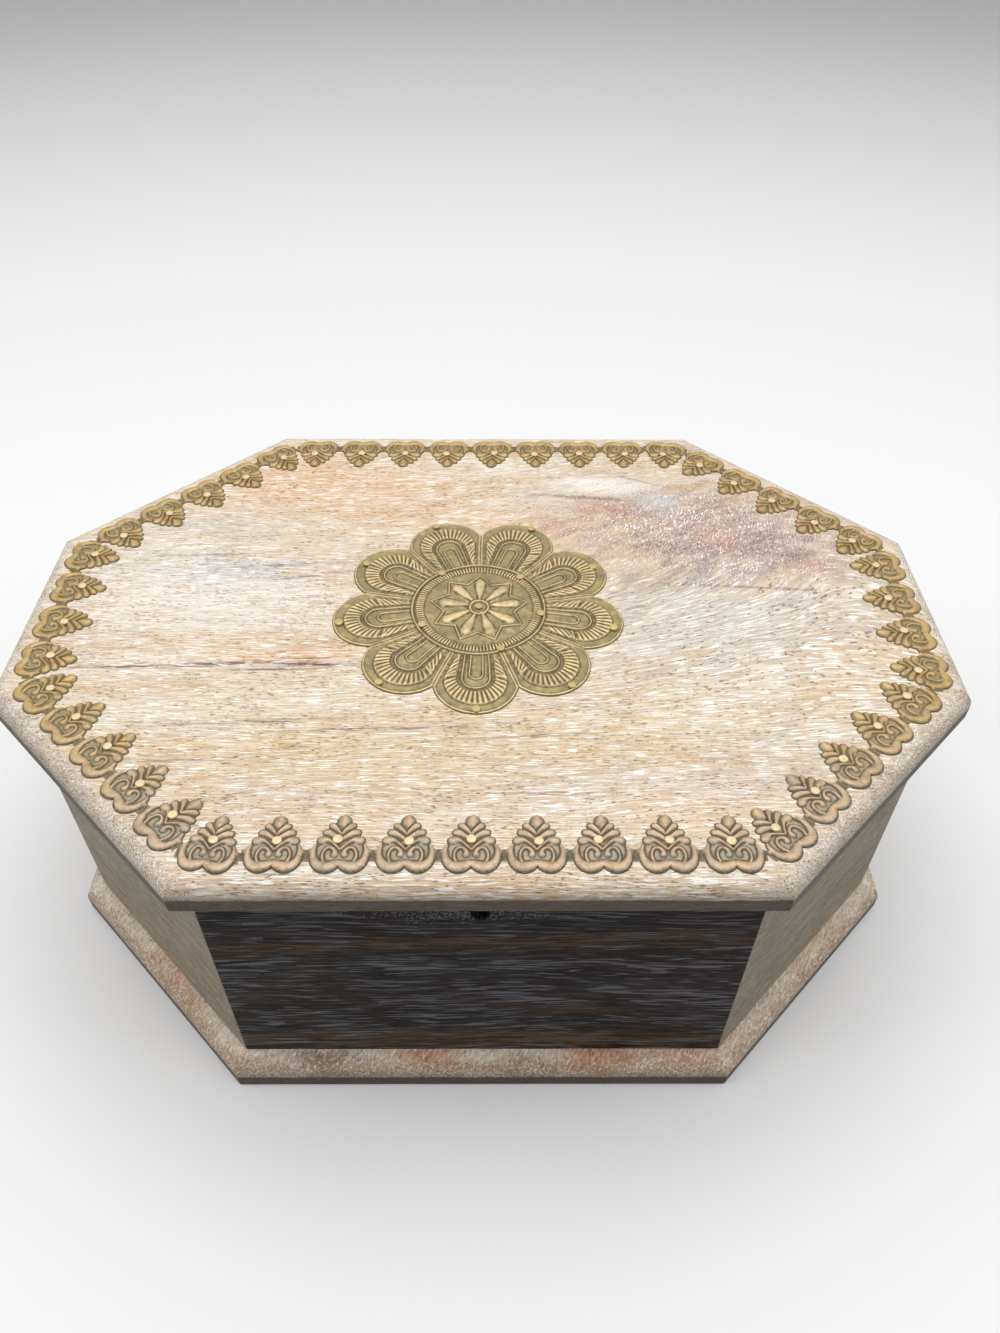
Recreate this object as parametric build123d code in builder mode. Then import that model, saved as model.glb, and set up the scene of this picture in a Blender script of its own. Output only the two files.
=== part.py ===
from build123d import *
import os
from math import cos, hypot, radians, sin, sqrt, tan

# An octagonal keepsake box of limed hardwood with embossed brass nailed to its lid.
# The origin is the middle of the underside, +Z is up, the keyhole faces -Y, the hinges +Y.
# All sizes are in millimetres and all angles in degrees.

# Outline shared by the lid and the plinth: a rectangle with four 45 degree cuts
outline_length = 305.0
outline_width = 218.0
corner_cut = 70.0

# Boards
lid_top = 120.0
lid_thickness = 11.5
lid_edge_round = 6.0
plinth_thickness = 12.0
plinth_edge_round = 6.5
lower_arris = 0.6

# Walls: eight mitred panels, set back from the edge of the lid and plinth
wall_thickness = 10.0
wall_setback = 7.0
wall_corner_round = 1.5

# Cloth on the floor
lining_thickness = 1.5
lining_gap = 0.4

# Screws that hold the plinth to the walls from below
base_screw_length = 26.0
base_screw_radius = 1.6
base_screw_head_radius = 3.2
base_screw_head_height = 1.8
base_screw_end_share = 0.2

# Small brass screws of the hinges, the lock and its staple
small_screw_radius = 1.1
small_screw_head_radius = 2.1
small_screw_head_height = 1.1
wall_screw_length = 9.0
lid_screw_length = 7.0
lock_screw_length = 7.0
screw_point_length = 1.5
screw_slot_width = 0.5
screw_slot_depth = 0.5
screw_clearance = 0.05

# Butt hinges, let into the top of the back wall and the underside of the lid
hinge_length = 38.0
hinge_end_margin = 6.5
leaf_thickness = 1.2
leaf_inner_margin = 2.0
knuckle_radius = 2.2
hinge_pin_radius = 1.0
hinge_pin_head_radius = 1.6
hinge_pin_head_height = 0.6
pin_clearance = 0.04
knuckle_gap = 0.15
knuckle_wall_gap = 0.4
knuckle_room = 0.5
mortise_clearance = 0.1
hinge_screw_offset = 11.0

# Keyhole, a round hole drawn out downwards for the bit of the key
keyhole_width = 5.8
key_bit_room = 2.5
key_drop = 9.7

# Box lock on the inner face of the front wall
lock_length = 34.0
lock_height = 18.5
lock_depth = 7.5
lock_sheet = 1.0
lock_drop = 1.5
lock_ear_length = 7.5
lock_ear_height = 8.0
key_nose_radius = 1.6
bolt_height = 3.4
bolt_nose_thickness = 2.0
bolt_travel = 4.5
bolt_tail_right = 0.6
bolt_gap = 0.15
bolt_end_gap = 0.7
talon_width = 2.5
talon_depth = 1.0
guide_length = 8.0
guide_height = 2.0
keeper_length = 3.0

# Staple plate under the lid; the bolt shoots through its eye
staple_plate_length = 18.0
staple_plate_thickness = 1.2
staple_screw_offset = 6.4
staple_thickness = 1.8
staple_width = 4.2
staple_foot = 1.2
staple_gap = 0.35
staple_slot_room = 0.5

# Brass sheet and the nails that hold it
sheet_thickness = 0.8
relief_height = 0.5
nail_head_radius = 1.35
nail_head_height = 0.7
nail_radius = 0.6
nail_length = 5.0
nail_clearance = 0.05

# Border of linked heart and leaf motifs, in each motif's own axes: x along the border
# and y towards the middle of the lid, from the line that the links follow
border_inset = 11.0
border_corner_radius = 20.0
border_shift_x = 0.3
border_shift_y = -1.0
border_start = -2.6
motif_pitch = 17.4
lobe_spread = 3.4
lobe_rise = -0.3
lobe_radius_x = 4.6
lobe_radius_y = 5.2
leaf_foot_width = 13.0
leaf_foot_rise = 1.0
bud_rise = 10.9
bud_size = 3.4
bud_round = 0.8
frond_spreads = (5.0, 4.1, 2.7)
frond_rises = (4.6, 7.3, 9.5)
frond_radii = (1.6, 1.25, 1.15)
rim_inset = 0.5
rim_width = 1.7
link_height = 3.6
link_overlap = 1.5
motif_nail_rise = 4.4
nail_wander = 0.9
nail_wander_inward = 0.36
nail_wander_turns = (2.4, 3.7)

# Medallion: petals round a ring, with a small flower inside it
medallion_x = -1.4
medallion_y = 0.2
medallion_turn = -91.0
petal_count = 9
petal_reach = 35.0
petal_radius = 13.6
medallion_rim_width = 1.3
petal_pad_reach = 31.0
petal_pad_length = 8.5
petal_pad_width = 5.2
ring_radius = 22.6
ring_width = 3.6
floret_reach = 8.6
floret_length = 4.6
floret_width = 1.9
boss_radius = 3.2
petal_nail_reaches = (46.8, 46.9, 45.5, 44.8, 46.8, 46.9, 45.4, 46.5, 46.9)
petal_nail_turns = (0.7, 39.5, 77.8, 119.0, 157.4, 200.8, 241.1, 281.0, 320.3)
ring_nail_reaches = (21.6, 21.0, 20.9, 21.6, 20.6)
ring_nail_turns = (20.6, 81.6, 138.4, 217.7, 296.8)

# Worked out from the sizes above
side_turn = 45.0
half_turn = tan(radians(side_turn / 2))
lid_underside = lid_top - lid_thickness
wall_height = lid_underside - plinth_thickness
wall_inset = wall_setback + wall_thickness
back_wall_face = outline_width / 2 - wall_setback
front_wall_inside = wall_inset - outline_width / 2
hinge_axis_y = back_wall_face + knuckle_radius + knuckle_wall_gap
leaf_front = back_wall_face - wall_thickness + leaf_inner_margin
leaf_depth = hinge_axis_y - leaf_front
leaf_screw_y = back_wall_face - (wall_thickness - leaf_inner_margin) / 2
nail_seat = lid_top + sheet_thickness

os.makedirs("parts", exist_ok=True)


def cut_at(inset):
    """Give the corner cut of the outline drawn in by an inset, which keeps its 45 degree sides."""
    return corner_cut - inset * (1 - half_turn)


def corners_at(inset):
    """Give the eight corners of the outline drawn in by an inset, from the front left round to the right."""
    x_far = outline_length / 2 - inset
    y_far = outline_width / 2 - inset
    x_near = x_far - cut_at(inset)
    y_near = y_far - cut_at(inset)
    return [
        (-x_near, -y_far), (x_near, -y_far), (x_far, -y_near), (x_far, y_near),
        (x_near, y_far), (-x_near, y_far), (-x_far, y_near), (-x_far, -y_near),
    ]


def save(piece, name):
    """Label one piece and write its STEP file."""
    piece.label = name
    export_step(piece, f"parts/{name}.step")


def screw_shape(radius, head_radius, head_height, length, clearance=0.0):
    """Make a countersunk screw with its head's face at the origin and its point down, or its hole."""
    with BuildPart() as screw:
        with BuildSketch(Plane.XZ):
            with BuildLine():
                Polyline(
                    (0, 0),
                    (head_radius + clearance, 0),
                    (radius + clearance, -head_height),
                    (radius + clearance, screw_point_length - length - clearance),
                    (0, -length - clearance),
                    close=True,
                )
            make_face()
        revolve(axis=Axis.Z)
        if clearance == 0.0:
            with BuildSketch(Plane.XY):
                Rectangle(3 * head_radius, screw_slot_width)
            extrude(amount=-screw_slot_depth, mode=Mode.SUBTRACT)
    return screw.part


def small_screw(length, clearance=0.0):
    """Make one of the small brass screws, or its hole."""
    return screw_shape(
        small_screw_radius, small_screw_head_radius, small_screw_head_height, length, clearance
    )


def copies(shape, places, name):
    """Write one node that holds a copy of a shape at each place."""
    with BuildPart() as group:
        with Locations(*places):
            add(shape)
    save(group.part, name)


# ---------------------------------------------------------------- border line
# The line runs from the middle of the front side towards +X, with rounded corners.
border_cut = cut_at(border_inset)
front_run = outline_length - 2 * border_inset - 2 * border_cut
side_run = outline_width - 2 * border_inset - 2 * border_cut
diagonal_run = border_cut * sqrt(2)
corner_trim = border_corner_radius * half_turn
corner_arc = border_corner_radius * radians(side_turn)
full_runs = [front_run, diagonal_run, side_run, diagonal_run] * 2
border_length = sum(full_runs) - 16 * corner_trim + 8 * corner_arc
motif_count = round(border_length / motif_pitch)
motif_step = border_length / motif_count


def border_place(distance):
    """Give the x, y and heading of the border line at a distance from the middle of the front."""
    left = (distance + front_run / 2 - corner_trim) % border_length
    heading = 0.0
    start = corners_at(border_inset)[0]
    x = start[0] + corner_trim
    y = start[1]
    for run in full_runs:
        straight = run - 2 * corner_trim
        step = min(left, straight)
        x += step * cos(radians(heading))
        y += step * sin(radians(heading))
        left -= step
        if left <= 0:
            break
        turned = min(left / corner_arc, 1.0) * side_turn
        chord = 2 * border_corner_radius * sin(radians(turned / 2))
        x += chord * cos(radians(heading + turned / 2))
        y += chord * sin(radians(heading + turned / 2))
        heading += turned
        left -= corner_arc
        if left <= 0:
            break
    return x + border_shift_x, y + border_shift_y, heading


motif_places = [border_place(border_start + motif_step * number) for number in range(motif_count)]
motif_sides = [round(heading / side_turn) % 8 for _, _, heading in motif_places]


def on_motif(place, along, inward):
    """Give the lid's x and y of a point in one motif's own axes."""
    x, y, heading = place
    turn = radians(heading)
    return x + along * cos(turn) - inward * sin(turn), y + along * sin(turn) + inward * cos(turn)


# Each nail was driven a little off the middle of its motif.
border_nail_points = [
    on_motif(
        place,
        nail_wander * sin(nail_wander_turns[0] * number),
        motif_nail_rise + nail_wander_inward * cos(nail_wander_turns[1] * number),
    )
    for number, place in enumerate(motif_places)
]

# ---------------------------------------------------------------- medallion places
medallion_plane = Plane(
    origin=(medallion_x, medallion_y, lid_top),
    x_dir=(cos(radians(medallion_turn)), sin(radians(medallion_turn)), 0),
    z_dir=(0, 0, 1),
)


def on_medallion(reach, turn):
    """Give the lid's x and y of a point on the medallion at a reach and a turn from its first petal."""
    angle = radians(medallion_turn + turn)
    return medallion_x + reach * cos(angle), medallion_y + reach * sin(angle)


petal_nail_points = [on_medallion(reach, turn) for reach, turn in zip(petal_nail_reaches, petal_nail_turns)]
ring_nail_points = [on_medallion(reach, turn) for reach, turn in zip(ring_nail_reaches, ring_nail_turns)]
medallion_nail_points = petal_nail_points + ring_nail_points + [(medallion_x, medallion_y)]

# ---------------------------------------------------------------- plinth board
screw_line = corners_at(wall_setback + wall_thickness / 2)
base_screw_points = []
for number, (x, y) in enumerate(screw_line):
    x_next, y_next = screw_line[(number + 1) % 8]
    shares = (base_screw_end_share, 1 - base_screw_end_share) if number in (0, 4) else (0.5,)
    base_screw_points += [(x + (x_next - x) * share, y + (y_next - y) * share) for share in shares]
base_screw_places = [Location((x, y, 0), (180, 0, 0)) for x, y in base_screw_points]
base_screw = screw_shape(
    base_screw_radius, base_screw_head_radius, base_screw_head_height, base_screw_length
)
base_screw_hole = screw_shape(
    base_screw_radius, base_screw_head_radius, base_screw_head_height, base_screw_length, screw_clearance
)

with BuildPart() as plinth_board:
    with BuildSketch():
        Polygon(*corners_at(0), align=None)
    extrude(amount=plinth_thickness)
    fillet(plinth_board.faces().sort_by(Axis.Z)[-1].edges(), radius=plinth_edge_round)
    chamfer(plinth_board.faces().sort_by(Axis.Z)[0].edges(), length=lower_arris)
    with Locations(*base_screw_places):
        add(base_screw_hole, mode=Mode.SUBTRACT)
save(plinth_board.part, "plinth_board")
copies(base_screw, base_screw_places, "base_screws")

# ---------------------------------------------------------------- floor lining
with BuildPart() as floor_lining:
    with BuildSketch(Plane.XY.offset(plinth_thickness)):
        Polygon(*corners_at(wall_inset + lining_gap), align=None)
    extrude(amount=lining_thickness)
save(floor_lining.part, "floor_lining")

# ---------------------------------------------------------------- hinges
back_wall_end, _ = corners_at(wall_inset)[4]
hinge_offset = back_wall_end - hinge_end_margin - hinge_length / 2
hinge_centres = {"left": -hinge_offset, "right": hinge_offset}
knuckle_length = hinge_length / 3
hinge_line = Plane(origin=(0, hinge_axis_y, lid_underside), x_dir=(0, 1, 0), z_dir=(1, 0, 0))


def hinge_leaf(centre, lies_below):
    """Make one hinge leaf: the wall's lies below the joint plane, the lid's above it."""
    side = -1 if lies_below else 1
    screw_holes = [
        Location((centre + offset, leaf_screw_y, lid_underside), (0 if lies_below else 180, 0, 0))
        for offset in (-hinge_screw_offset, hinge_screw_offset)
    ]
    own_centres = (-knuckle_length, knuckle_length) if lies_below else (0.0,)
    other_centres = (0.0,) if lies_below else (-knuckle_length, knuckle_length)
    with BuildPart() as leaf:
        with BuildSketch(Plane.XY.offset(lid_underside)):
            with Locations((centre, leaf_front + leaf_depth / 2)):
                Rectangle(hinge_length, leaf_depth)
        extrude(amount=side * leaf_thickness)
        for offset in own_centres:
            with BuildSketch(hinge_line.offset(centre + offset - knuckle_length / 2)):
                Circle(knuckle_radius)
            extrude(amount=knuckle_length)
        for offset in other_centres:
            with BuildSketch(hinge_line.offset(centre + offset - knuckle_length / 2 - knuckle_gap)):
                Circle(knuckle_radius + knuckle_wall_gap)
            extrude(amount=knuckle_length + 2 * knuckle_gap, mode=Mode.SUBTRACT)
        with BuildSketch(hinge_line.offset(centre - hinge_length / 2)):
            Circle(hinge_pin_radius + pin_clearance)
        extrude(amount=hinge_length, mode=Mode.SUBTRACT)
        with Locations(*screw_holes):
            add(small_screw(wall_screw_length, screw_clearance), mode=Mode.SUBTRACT)
    return leaf.part


for side, centre in hinge_centres.items():
    save(hinge_leaf(centre, True), f"hinge_{side}_wall_leaf")
    save(hinge_leaf(centre, False), f"hinge_{side}_lid_leaf")
    with BuildPart() as hinge_pin:
        with BuildSketch(hinge_line.offset(centre - hinge_length / 2)):
            Circle(hinge_pin_radius)
        extrude(amount=hinge_length)
        with BuildSketch(hinge_line.offset(centre + hinge_length / 2)):
            Circle(hinge_pin_head_radius)
        extrude(amount=hinge_pin_head_height)
        with BuildSketch(hinge_line.offset(centre - hinge_length / 2)):
            Circle(hinge_pin_head_radius)
        extrude(amount=-hinge_pin_head_height)
    save(hinge_pin.part, f"hinge_{side}_pin")

hinge_screw_xs = [
    centre + offset
    for centre in hinge_centres.values()
    for offset in (-hinge_screw_offset, hinge_screw_offset)
]
wall_screw_places = [Location((x, leaf_screw_y, lid_underside)) for x in hinge_screw_xs]
lid_screw_places = [Location((x, leaf_screw_y, lid_underside), (180, 0, 0)) for x in hinge_screw_xs]
copies(small_screw(wall_screw_length), wall_screw_places, "hinge_wall_screws")
copies(small_screw(lid_screw_length), lid_screw_places, "hinge_lid_screws")

# ---------------------------------------------------------------- lock
case_top = lid_underside - lock_drop
case_back = front_wall_inside + lock_depth
key_height = lid_underside - key_drop
bolt_top = case_top - lock_sheet - bolt_gap
bolt_bottom = bolt_top - bolt_height
bolt_back = case_back - lock_sheet - bolt_gap
bolt_middle_y = (front_wall_inside + case_back - lock_sheet) / 2 + bolt_gap
bolt_left = -lock_length / 2 + lock_sheet + bolt_end_gap
staple_eye_bottom = bolt_bottom - staple_gap
staple_bottom = staple_eye_bottom - staple_foot
bolt_tip = bolt_tail_right + bolt_travel
staple_left = bolt_tip + bolt_end_gap
staple_x = staple_left + staple_thickness / 2
keeper_left = staple_left + staple_thickness + staple_slot_room
lock_ear_x = lock_length / 2 + lock_ear_length / 2
lock_face = Plane(origin=(0, front_wall_inside, 0), x_dir=(1, 0, 0), z_dir=(0, -1, 0))


def lock_block(x_range, y_range, z_range, mode=Mode.ADD):
    """Add or cut a square block in the lock between two corners, inside an open BuildPart."""
    with BuildSketch(Plane.XY.offset(z_range[0])) as block:
        with Locations(((x_range[0] + x_range[1]) / 2, (y_range[0] + y_range[1]) / 2)):
            Rectangle(x_range[1] - x_range[0], y_range[1] - y_range[0])
    extrude(block.sketch, amount=z_range[1] - z_range[0], mode=mode)


lock_screw_places = [
    Location((side * lock_ear_x, front_wall_inside + lock_sheet, key_height), (-90, 0, 0))
    for side in (-1, 1)
]
lock_screw_hole = small_screw(lock_screw_length, screw_clearance)
case_left = -lock_length / 2
case_right = lock_length / 2
case_bottom = case_top - lock_height
inner_back = case_back - lock_sheet
slot_half_length = staple_thickness / 2 + staple_slot_room
slot_half_width = staple_width / 2 + staple_slot_room

with BuildPart() as lock_case:
    lock_block((case_left, case_right), (front_wall_inside, case_back), (case_bottom, case_top))
    lock_block(
        (case_left - lock_ear_length, case_right + lock_ear_length),
        (front_wall_inside, front_wall_inside + lock_sheet),
        (key_height - lock_ear_height / 2, key_height + lock_ear_height / 2),
    )
    lock_block(
        (case_left + lock_sheet, case_right - lock_sheet),
        (front_wall_inside, inner_back),
        (case_bottom + lock_sheet, case_top - lock_sheet),
        Mode.SUBTRACT,
    )
    # Two rests hold the bolt up from below, one under its tail and one past the staple.
    lock_block(
        (case_left + lock_sheet, case_left + lock_sheet + guide_length),
        (bolt_middle_y - bolt_nose_thickness, inner_back),
        (bolt_bottom - bolt_gap - guide_height, bolt_bottom - bolt_gap),
    )
    lock_block(
        (keeper_left, keeper_left + keeper_length),
        (bolt_middle_y - bolt_nose_thickness, inner_back),
        (bolt_bottom - bolt_gap - guide_height, bolt_bottom - bolt_gap),
    )
    lock_block(
        (staple_x - slot_half_length, staple_x + slot_half_length),
        (bolt_middle_y - slot_half_width, bolt_middle_y + slot_half_width),
        (case_top - lock_sheet, case_top),
        Mode.SUBTRACT,
    )
    with BuildSketch(lock_face.offset(-lock_depth)):
        with Locations((0, key_height)):
            Circle(key_nose_radius)
    extrude(amount=lock_sheet, mode=Mode.SUBTRACT)
    with Locations(*lock_screw_places):
        add(lock_screw_hole, mode=Mode.SUBTRACT)
save(lock_case.part, "lock_case")
copies(small_screw(lock_screw_length), lock_screw_places, "lock_screws")

with BuildPart() as lock_bolt:
    lock_block(
        (bolt_left, bolt_tail_right),
        (bolt_middle_y - bolt_nose_thickness / 2, bolt_back),
        (bolt_bottom, bolt_top),
    )
    lock_block(
        (bolt_tail_right, bolt_tip),
        (bolt_middle_y - bolt_nose_thickness / 2, bolt_middle_y + bolt_nose_thickness / 2),
        (bolt_bottom, bolt_top),
    )
    lock_block(
        (bolt_tail_right - 1.5 * talon_width, bolt_tail_right - talon_width / 2),
        (bolt_middle_y - bolt_nose_thickness, bolt_back),
        (bolt_bottom, bolt_bottom + talon_depth),
        Mode.SUBTRACT,
    )
save(lock_bolt.part, "lock_bolt")

plate_bottom = lid_underside - staple_plate_thickness
plate_front = front_wall_inside + bolt_gap
staple_screw_places = [
    Location((staple_x + side * staple_screw_offset, bolt_middle_y, plate_bottom), (180, 0, 0))
    for side in (-1, 1)
]
with BuildPart() as lid_staple:
    lock_block(
        (staple_x - staple_plate_length / 2, staple_x + staple_plate_length / 2),
        (plate_front, 2 * bolt_middle_y - plate_front),
        (plate_bottom, lid_underside),
    )
    lock_block(
        (staple_x - staple_thickness / 2, staple_x + staple_thickness / 2),
        (bolt_middle_y - staple_width / 2, bolt_middle_y + staple_width / 2),
        (staple_bottom, plate_bottom),
    )
    lock_block(
        (staple_x - staple_thickness / 2, staple_x + staple_thickness / 2),
        (
            bolt_middle_y - bolt_nose_thickness / 2 - staple_gap,
            bolt_middle_y + bolt_nose_thickness / 2 + staple_gap,
        ),
        (staple_eye_bottom, bolt_top + staple_gap),
        Mode.SUBTRACT,
    )
    with Locations(*staple_screw_places):
        add(small_screw(lid_screw_length, screw_clearance), mode=Mode.SUBTRACT)
save(lid_staple.part, "lid_staple")
copies(small_screw(lid_screw_length), staple_screw_places, "staple_screws")

# ---------------------------------------------------------------- walls
wall_names = ["front", "front_right", "right", "back_right", "back", "back_left", "left", "front_left"]
sector_far = corners_at(0)
sector_near = corners_at(wall_inset)


def wall_panel(number):
    """Make one wall panel: its share of the eight-sided ring between two mitre planes."""
    following = (number + 1) % 8
    with BuildPart() as panel:
        with BuildSketch(Plane.XY.offset(plinth_thickness)) as ring:
            Polygon(*corners_at(wall_setback), align=None)
            fillet(ring.vertices(), radius=wall_corner_round)
            Polygon(
                sector_far[number], sector_far[following], sector_near[following], sector_near[number],
                align=None, mode=Mode.INTERSECT,
            )
        extrude(amount=wall_height)
        with Locations(*base_screw_places):
            add(base_screw_hole, mode=Mode.SUBTRACT)
    return panel.part


for number, wall_name in enumerate(wall_names):
    if wall_name not in ("front", "back"):
        save(wall_panel(number), f"wall_{wall_name}")

with BuildPart() as wall_front:
    add(wall_panel(wall_names.index("front")))
    with BuildSketch(lock_face):
        with Locations((0, key_height - key_bit_room / 2)):
            SlotCenterToCenter(key_bit_room, keyhole_width, rotation=90)
    extrude(amount=wall_thickness, mode=Mode.SUBTRACT)
    with Locations(*lock_screw_places):
        add(lock_screw_hole, mode=Mode.SUBTRACT)
save(wall_front.part, "wall_front")

with BuildPart() as wall_back:
    add(wall_panel(wall_names.index("back")))
    with BuildSketch(Plane.XY.offset(lid_underside)):
        for centre in hinge_centres.values():
            with Locations((centre, leaf_front - mortise_clearance + leaf_depth / 2)):
                Rectangle(hinge_length + 2 * mortise_clearance, leaf_depth)
    extrude(amount=-leaf_thickness, mode=Mode.SUBTRACT)
    with Locations(*wall_screw_places):
        add(small_screw(wall_screw_length, screw_clearance), mode=Mode.SUBTRACT)
save(wall_back.part, "wall_back")

# ---------------------------------------------------------------- lid board
with BuildPart() as lid_board:
    with BuildSketch(Plane.XY.offset(lid_underside)):
        Polygon(*corners_at(0), align=None)
    extrude(amount=lid_thickness)
    fillet(lid_board.faces().sort_by(Axis.Z)[-1].edges(), radius=lid_edge_round)
    chamfer(lid_board.faces().sort_by(Axis.Z)[0].edges(), length=lower_arris)
    with BuildSketch(Plane.XY.offset(lid_underside)):
        for centre in hinge_centres.values():
            with Locations((centre, leaf_front - mortise_clearance + leaf_depth / 2)):
                Rectangle(hinge_length + 2 * mortise_clearance, leaf_depth)
    extrude(amount=leaf_thickness, mode=Mode.SUBTRACT)
    notch_front = hinge_axis_y - knuckle_radius - knuckle_room
    notch_depth = outline_width / 2 - notch_front
    notch_length = hinge_length + 2 * hinge_pin_head_height + 2 * knuckle_room
    with BuildSketch(Plane.XY.offset(lid_underside)):
        for centre in hinge_centres.values():
            with Locations((centre, notch_front + notch_depth / 2)):
                Rectangle(notch_length, notch_depth)
    extrude(amount=knuckle_radius + knuckle_room, mode=Mode.SUBTRACT)
    with Locations(*lid_screw_places, *staple_screw_places):
        add(small_screw(lid_screw_length, screw_clearance), mode=Mode.SUBTRACT)
    with BuildSketch(Plane.XY.offset(lid_top)):
        with Locations(*border_nail_points, *medallion_nail_points):
            Circle(nail_radius + nail_clearance)
    extrude(amount=-nail_length - nail_clearance, mode=Mode.SUBTRACT)
save(lid_board.part, "lid_board")

# ---------------------------------------------------------------- nails
cap_radius = (nail_head_radius**2 + nail_head_height**2) / (2 * nail_head_height)
with BuildPart() as nail:
    with BuildSketch(Plane.XZ):
        with BuildLine():
            RadiusArc((0, nail_head_height), (nail_head_radius, 0), cap_radius)
            Polyline(
                (nail_head_radius, 0),
                (nail_radius, 0),
                (nail_radius, -nail_length),
                (0, -nail_length - sheet_thickness),
                (0, nail_head_height),
            )
        make_face()
    revolve(axis=Axis.Z)

border_nail_places = [Location((x, y, nail_seat)) for x, y in border_nail_points]
medallion_nail_places = [Location((x, y, nail_seat)) for x, y in medallion_nail_points]
copies(nail.part, border_nail_places, "border_nails")
copies(nail.part, medallion_nail_places, "medallion_nails")

# ---------------------------------------------------------------- border strips
rim_reach = rim_inset + rim_width
with BuildPart() as motif:
    with BuildSketch() as motif_sketch:
        with Locations((-lobe_spread, lobe_rise), (lobe_spread, lobe_rise)):
            Ellipse(lobe_radius_x, lobe_radius_y)
        Polygon(
            (leaf_foot_width / 2, leaf_foot_rise), *zip(frond_spreads, frond_rises), (0, bud_rise),
            *[(-x, y) for x, y in reversed(list(zip(frond_spreads, frond_rises)))],
            (-leaf_foot_width / 2, leaf_foot_rise), align=None,
        )
        for spread, rise, radius in zip(frond_spreads, frond_rises, frond_radii):
            with Locations((-spread, rise), (spread, rise)):
                Circle(radius)
        with Locations((0, bud_rise)):
            RectangleRounded(bud_size, bud_size, bud_round, rotation=45)
    extrude(amount=sheet_thickness)
    with BuildSketch(Plane.XY.offset(sheet_thickness)):
        with Locations((-lobe_spread, lobe_rise), (lobe_spread, lobe_rise)):
            Ellipse(lobe_radius_x - rim_inset, lobe_radius_y - rim_inset)
        with Locations((-lobe_spread, lobe_rise), (lobe_spread, lobe_rise)):
            Ellipse(lobe_radius_x - rim_reach, lobe_radius_y - rim_reach, mode=Mode.SUBTRACT)
        with Locations((0, motif_nail_rise)):
            Rectangle(2 * lobe_radius_x, 2 * nail_head_radius + 2 * nail_wander, mode=Mode.SUBTRACT)
        for spread, rise, radius in zip(frond_spreads, frond_rises, frond_radii):
            with Locations((-spread, rise), (spread, rise)):
                Circle(radius - rim_inset)
        with Locations((0, bud_rise)):
            RectangleRounded(bud_size - rim_inset, bud_size - rim_inset, bud_round, rotation=45)
    extrude(amount=relief_height)

for number, wall_name in enumerate(wall_names):
    members = [index for index in range(motif_count) if motif_sides[index] == number]
    if number == 0:
        members.sort(key=lambda index: motif_places[index][0])
    placed = [motif_places[index] for index in members]
    with BuildPart() as strip:
        with Locations(*[Location((x, y, lid_top), (0, 0, heading)) for x, y, heading in placed]):
            add(motif.part)
        for (x, y, _), (x_next, y_next, _) in zip(placed, placed[1:]):
            chord = hypot(x_next - x, y_next - y)
            link_plane = Plane(
                origin=((x + x_next) / 2, (y + y_next) / 2, lid_top),
                x_dir=(x_next - x, y_next - y, 0),
                z_dir=(0, 0, 1),
            )
            with BuildSketch(link_plane):
                Rectangle(chord - 2 * (lobe_spread + lobe_radius_x - link_overlap), link_height)
            extrude(amount=sheet_thickness)
        with BuildSketch(Plane.XY.offset(lid_top)):
            with Locations(*[border_nail_points[index] for index in members]):
                Circle(nail_radius + nail_clearance)
        extrude(amount=sheet_thickness + relief_height, mode=Mode.SUBTRACT)
    save(strip.part, f"border_{wall_name}")

# ---------------------------------------------------------------- medallion
nail_seats = [medallion_plane.to_local_coords(Vector(x, y, nail_seat)) for x, y in medallion_nail_points]
with BuildPart() as medallion:
    with BuildSketch(medallion_plane):
        Circle(petal_reach)
        with PolarLocations(petal_reach, petal_count):
            Circle(petal_radius)
    extrude(amount=sheet_thickness)
    with BuildSketch(medallion_plane.offset(sheet_thickness)):
        with PolarLocations(petal_reach, petal_count):
            Circle(petal_radius - rim_inset)
        with PolarLocations(petal_reach, petal_count):
            Circle(petal_radius - rim_inset - medallion_rim_width, mode=Mode.SUBTRACT)
        with PolarLocations(petal_pad_reach, petal_count):
            Ellipse(petal_pad_length, petal_pad_width)
        Circle(ring_radius + rim_inset, mode=Mode.SUBTRACT)
        Circle(ring_radius)
        Circle(ring_radius - ring_width, mode=Mode.SUBTRACT)
        with PolarLocations(floret_reach, petal_count):
            Ellipse(floret_length, floret_width)
        Circle(boss_radius, mode=Mode.SUBTRACT)
        with Locations(*nail_seats):
            Circle(nail_head_radius + nail_clearance, mode=Mode.SUBTRACT)
    extrude(amount=relief_height)
    with BuildSketch(Plane.XY.offset(lid_top)):
        with Locations(*medallion_nail_points):
            Circle(nail_radius + nail_clearance)
    extrude(amount=sheet_thickness, mode=Mode.SUBTRACT)
save(medallion.part, "medallion")
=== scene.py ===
"""Dress the octagonal keepsake box in limed boards, embossed brass and felt, and light it."""
import logging
from collections.abc import Callable, Sequence
from dataclasses import dataclass
from enum import Enum
from math import atan2, ceil, cos, hypot, pi, radians, sin, sqrt, tan

import bpy
import numpy as np
from bpy.types import ID, Material, Mesh, Node, NodeSocket, NodeTree, Object
from mathutils import Matrix, Vector, noise
from mathutils.geometry import delaunay_2d_cdt
from mathutils.kdtree import KDTree


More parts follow.
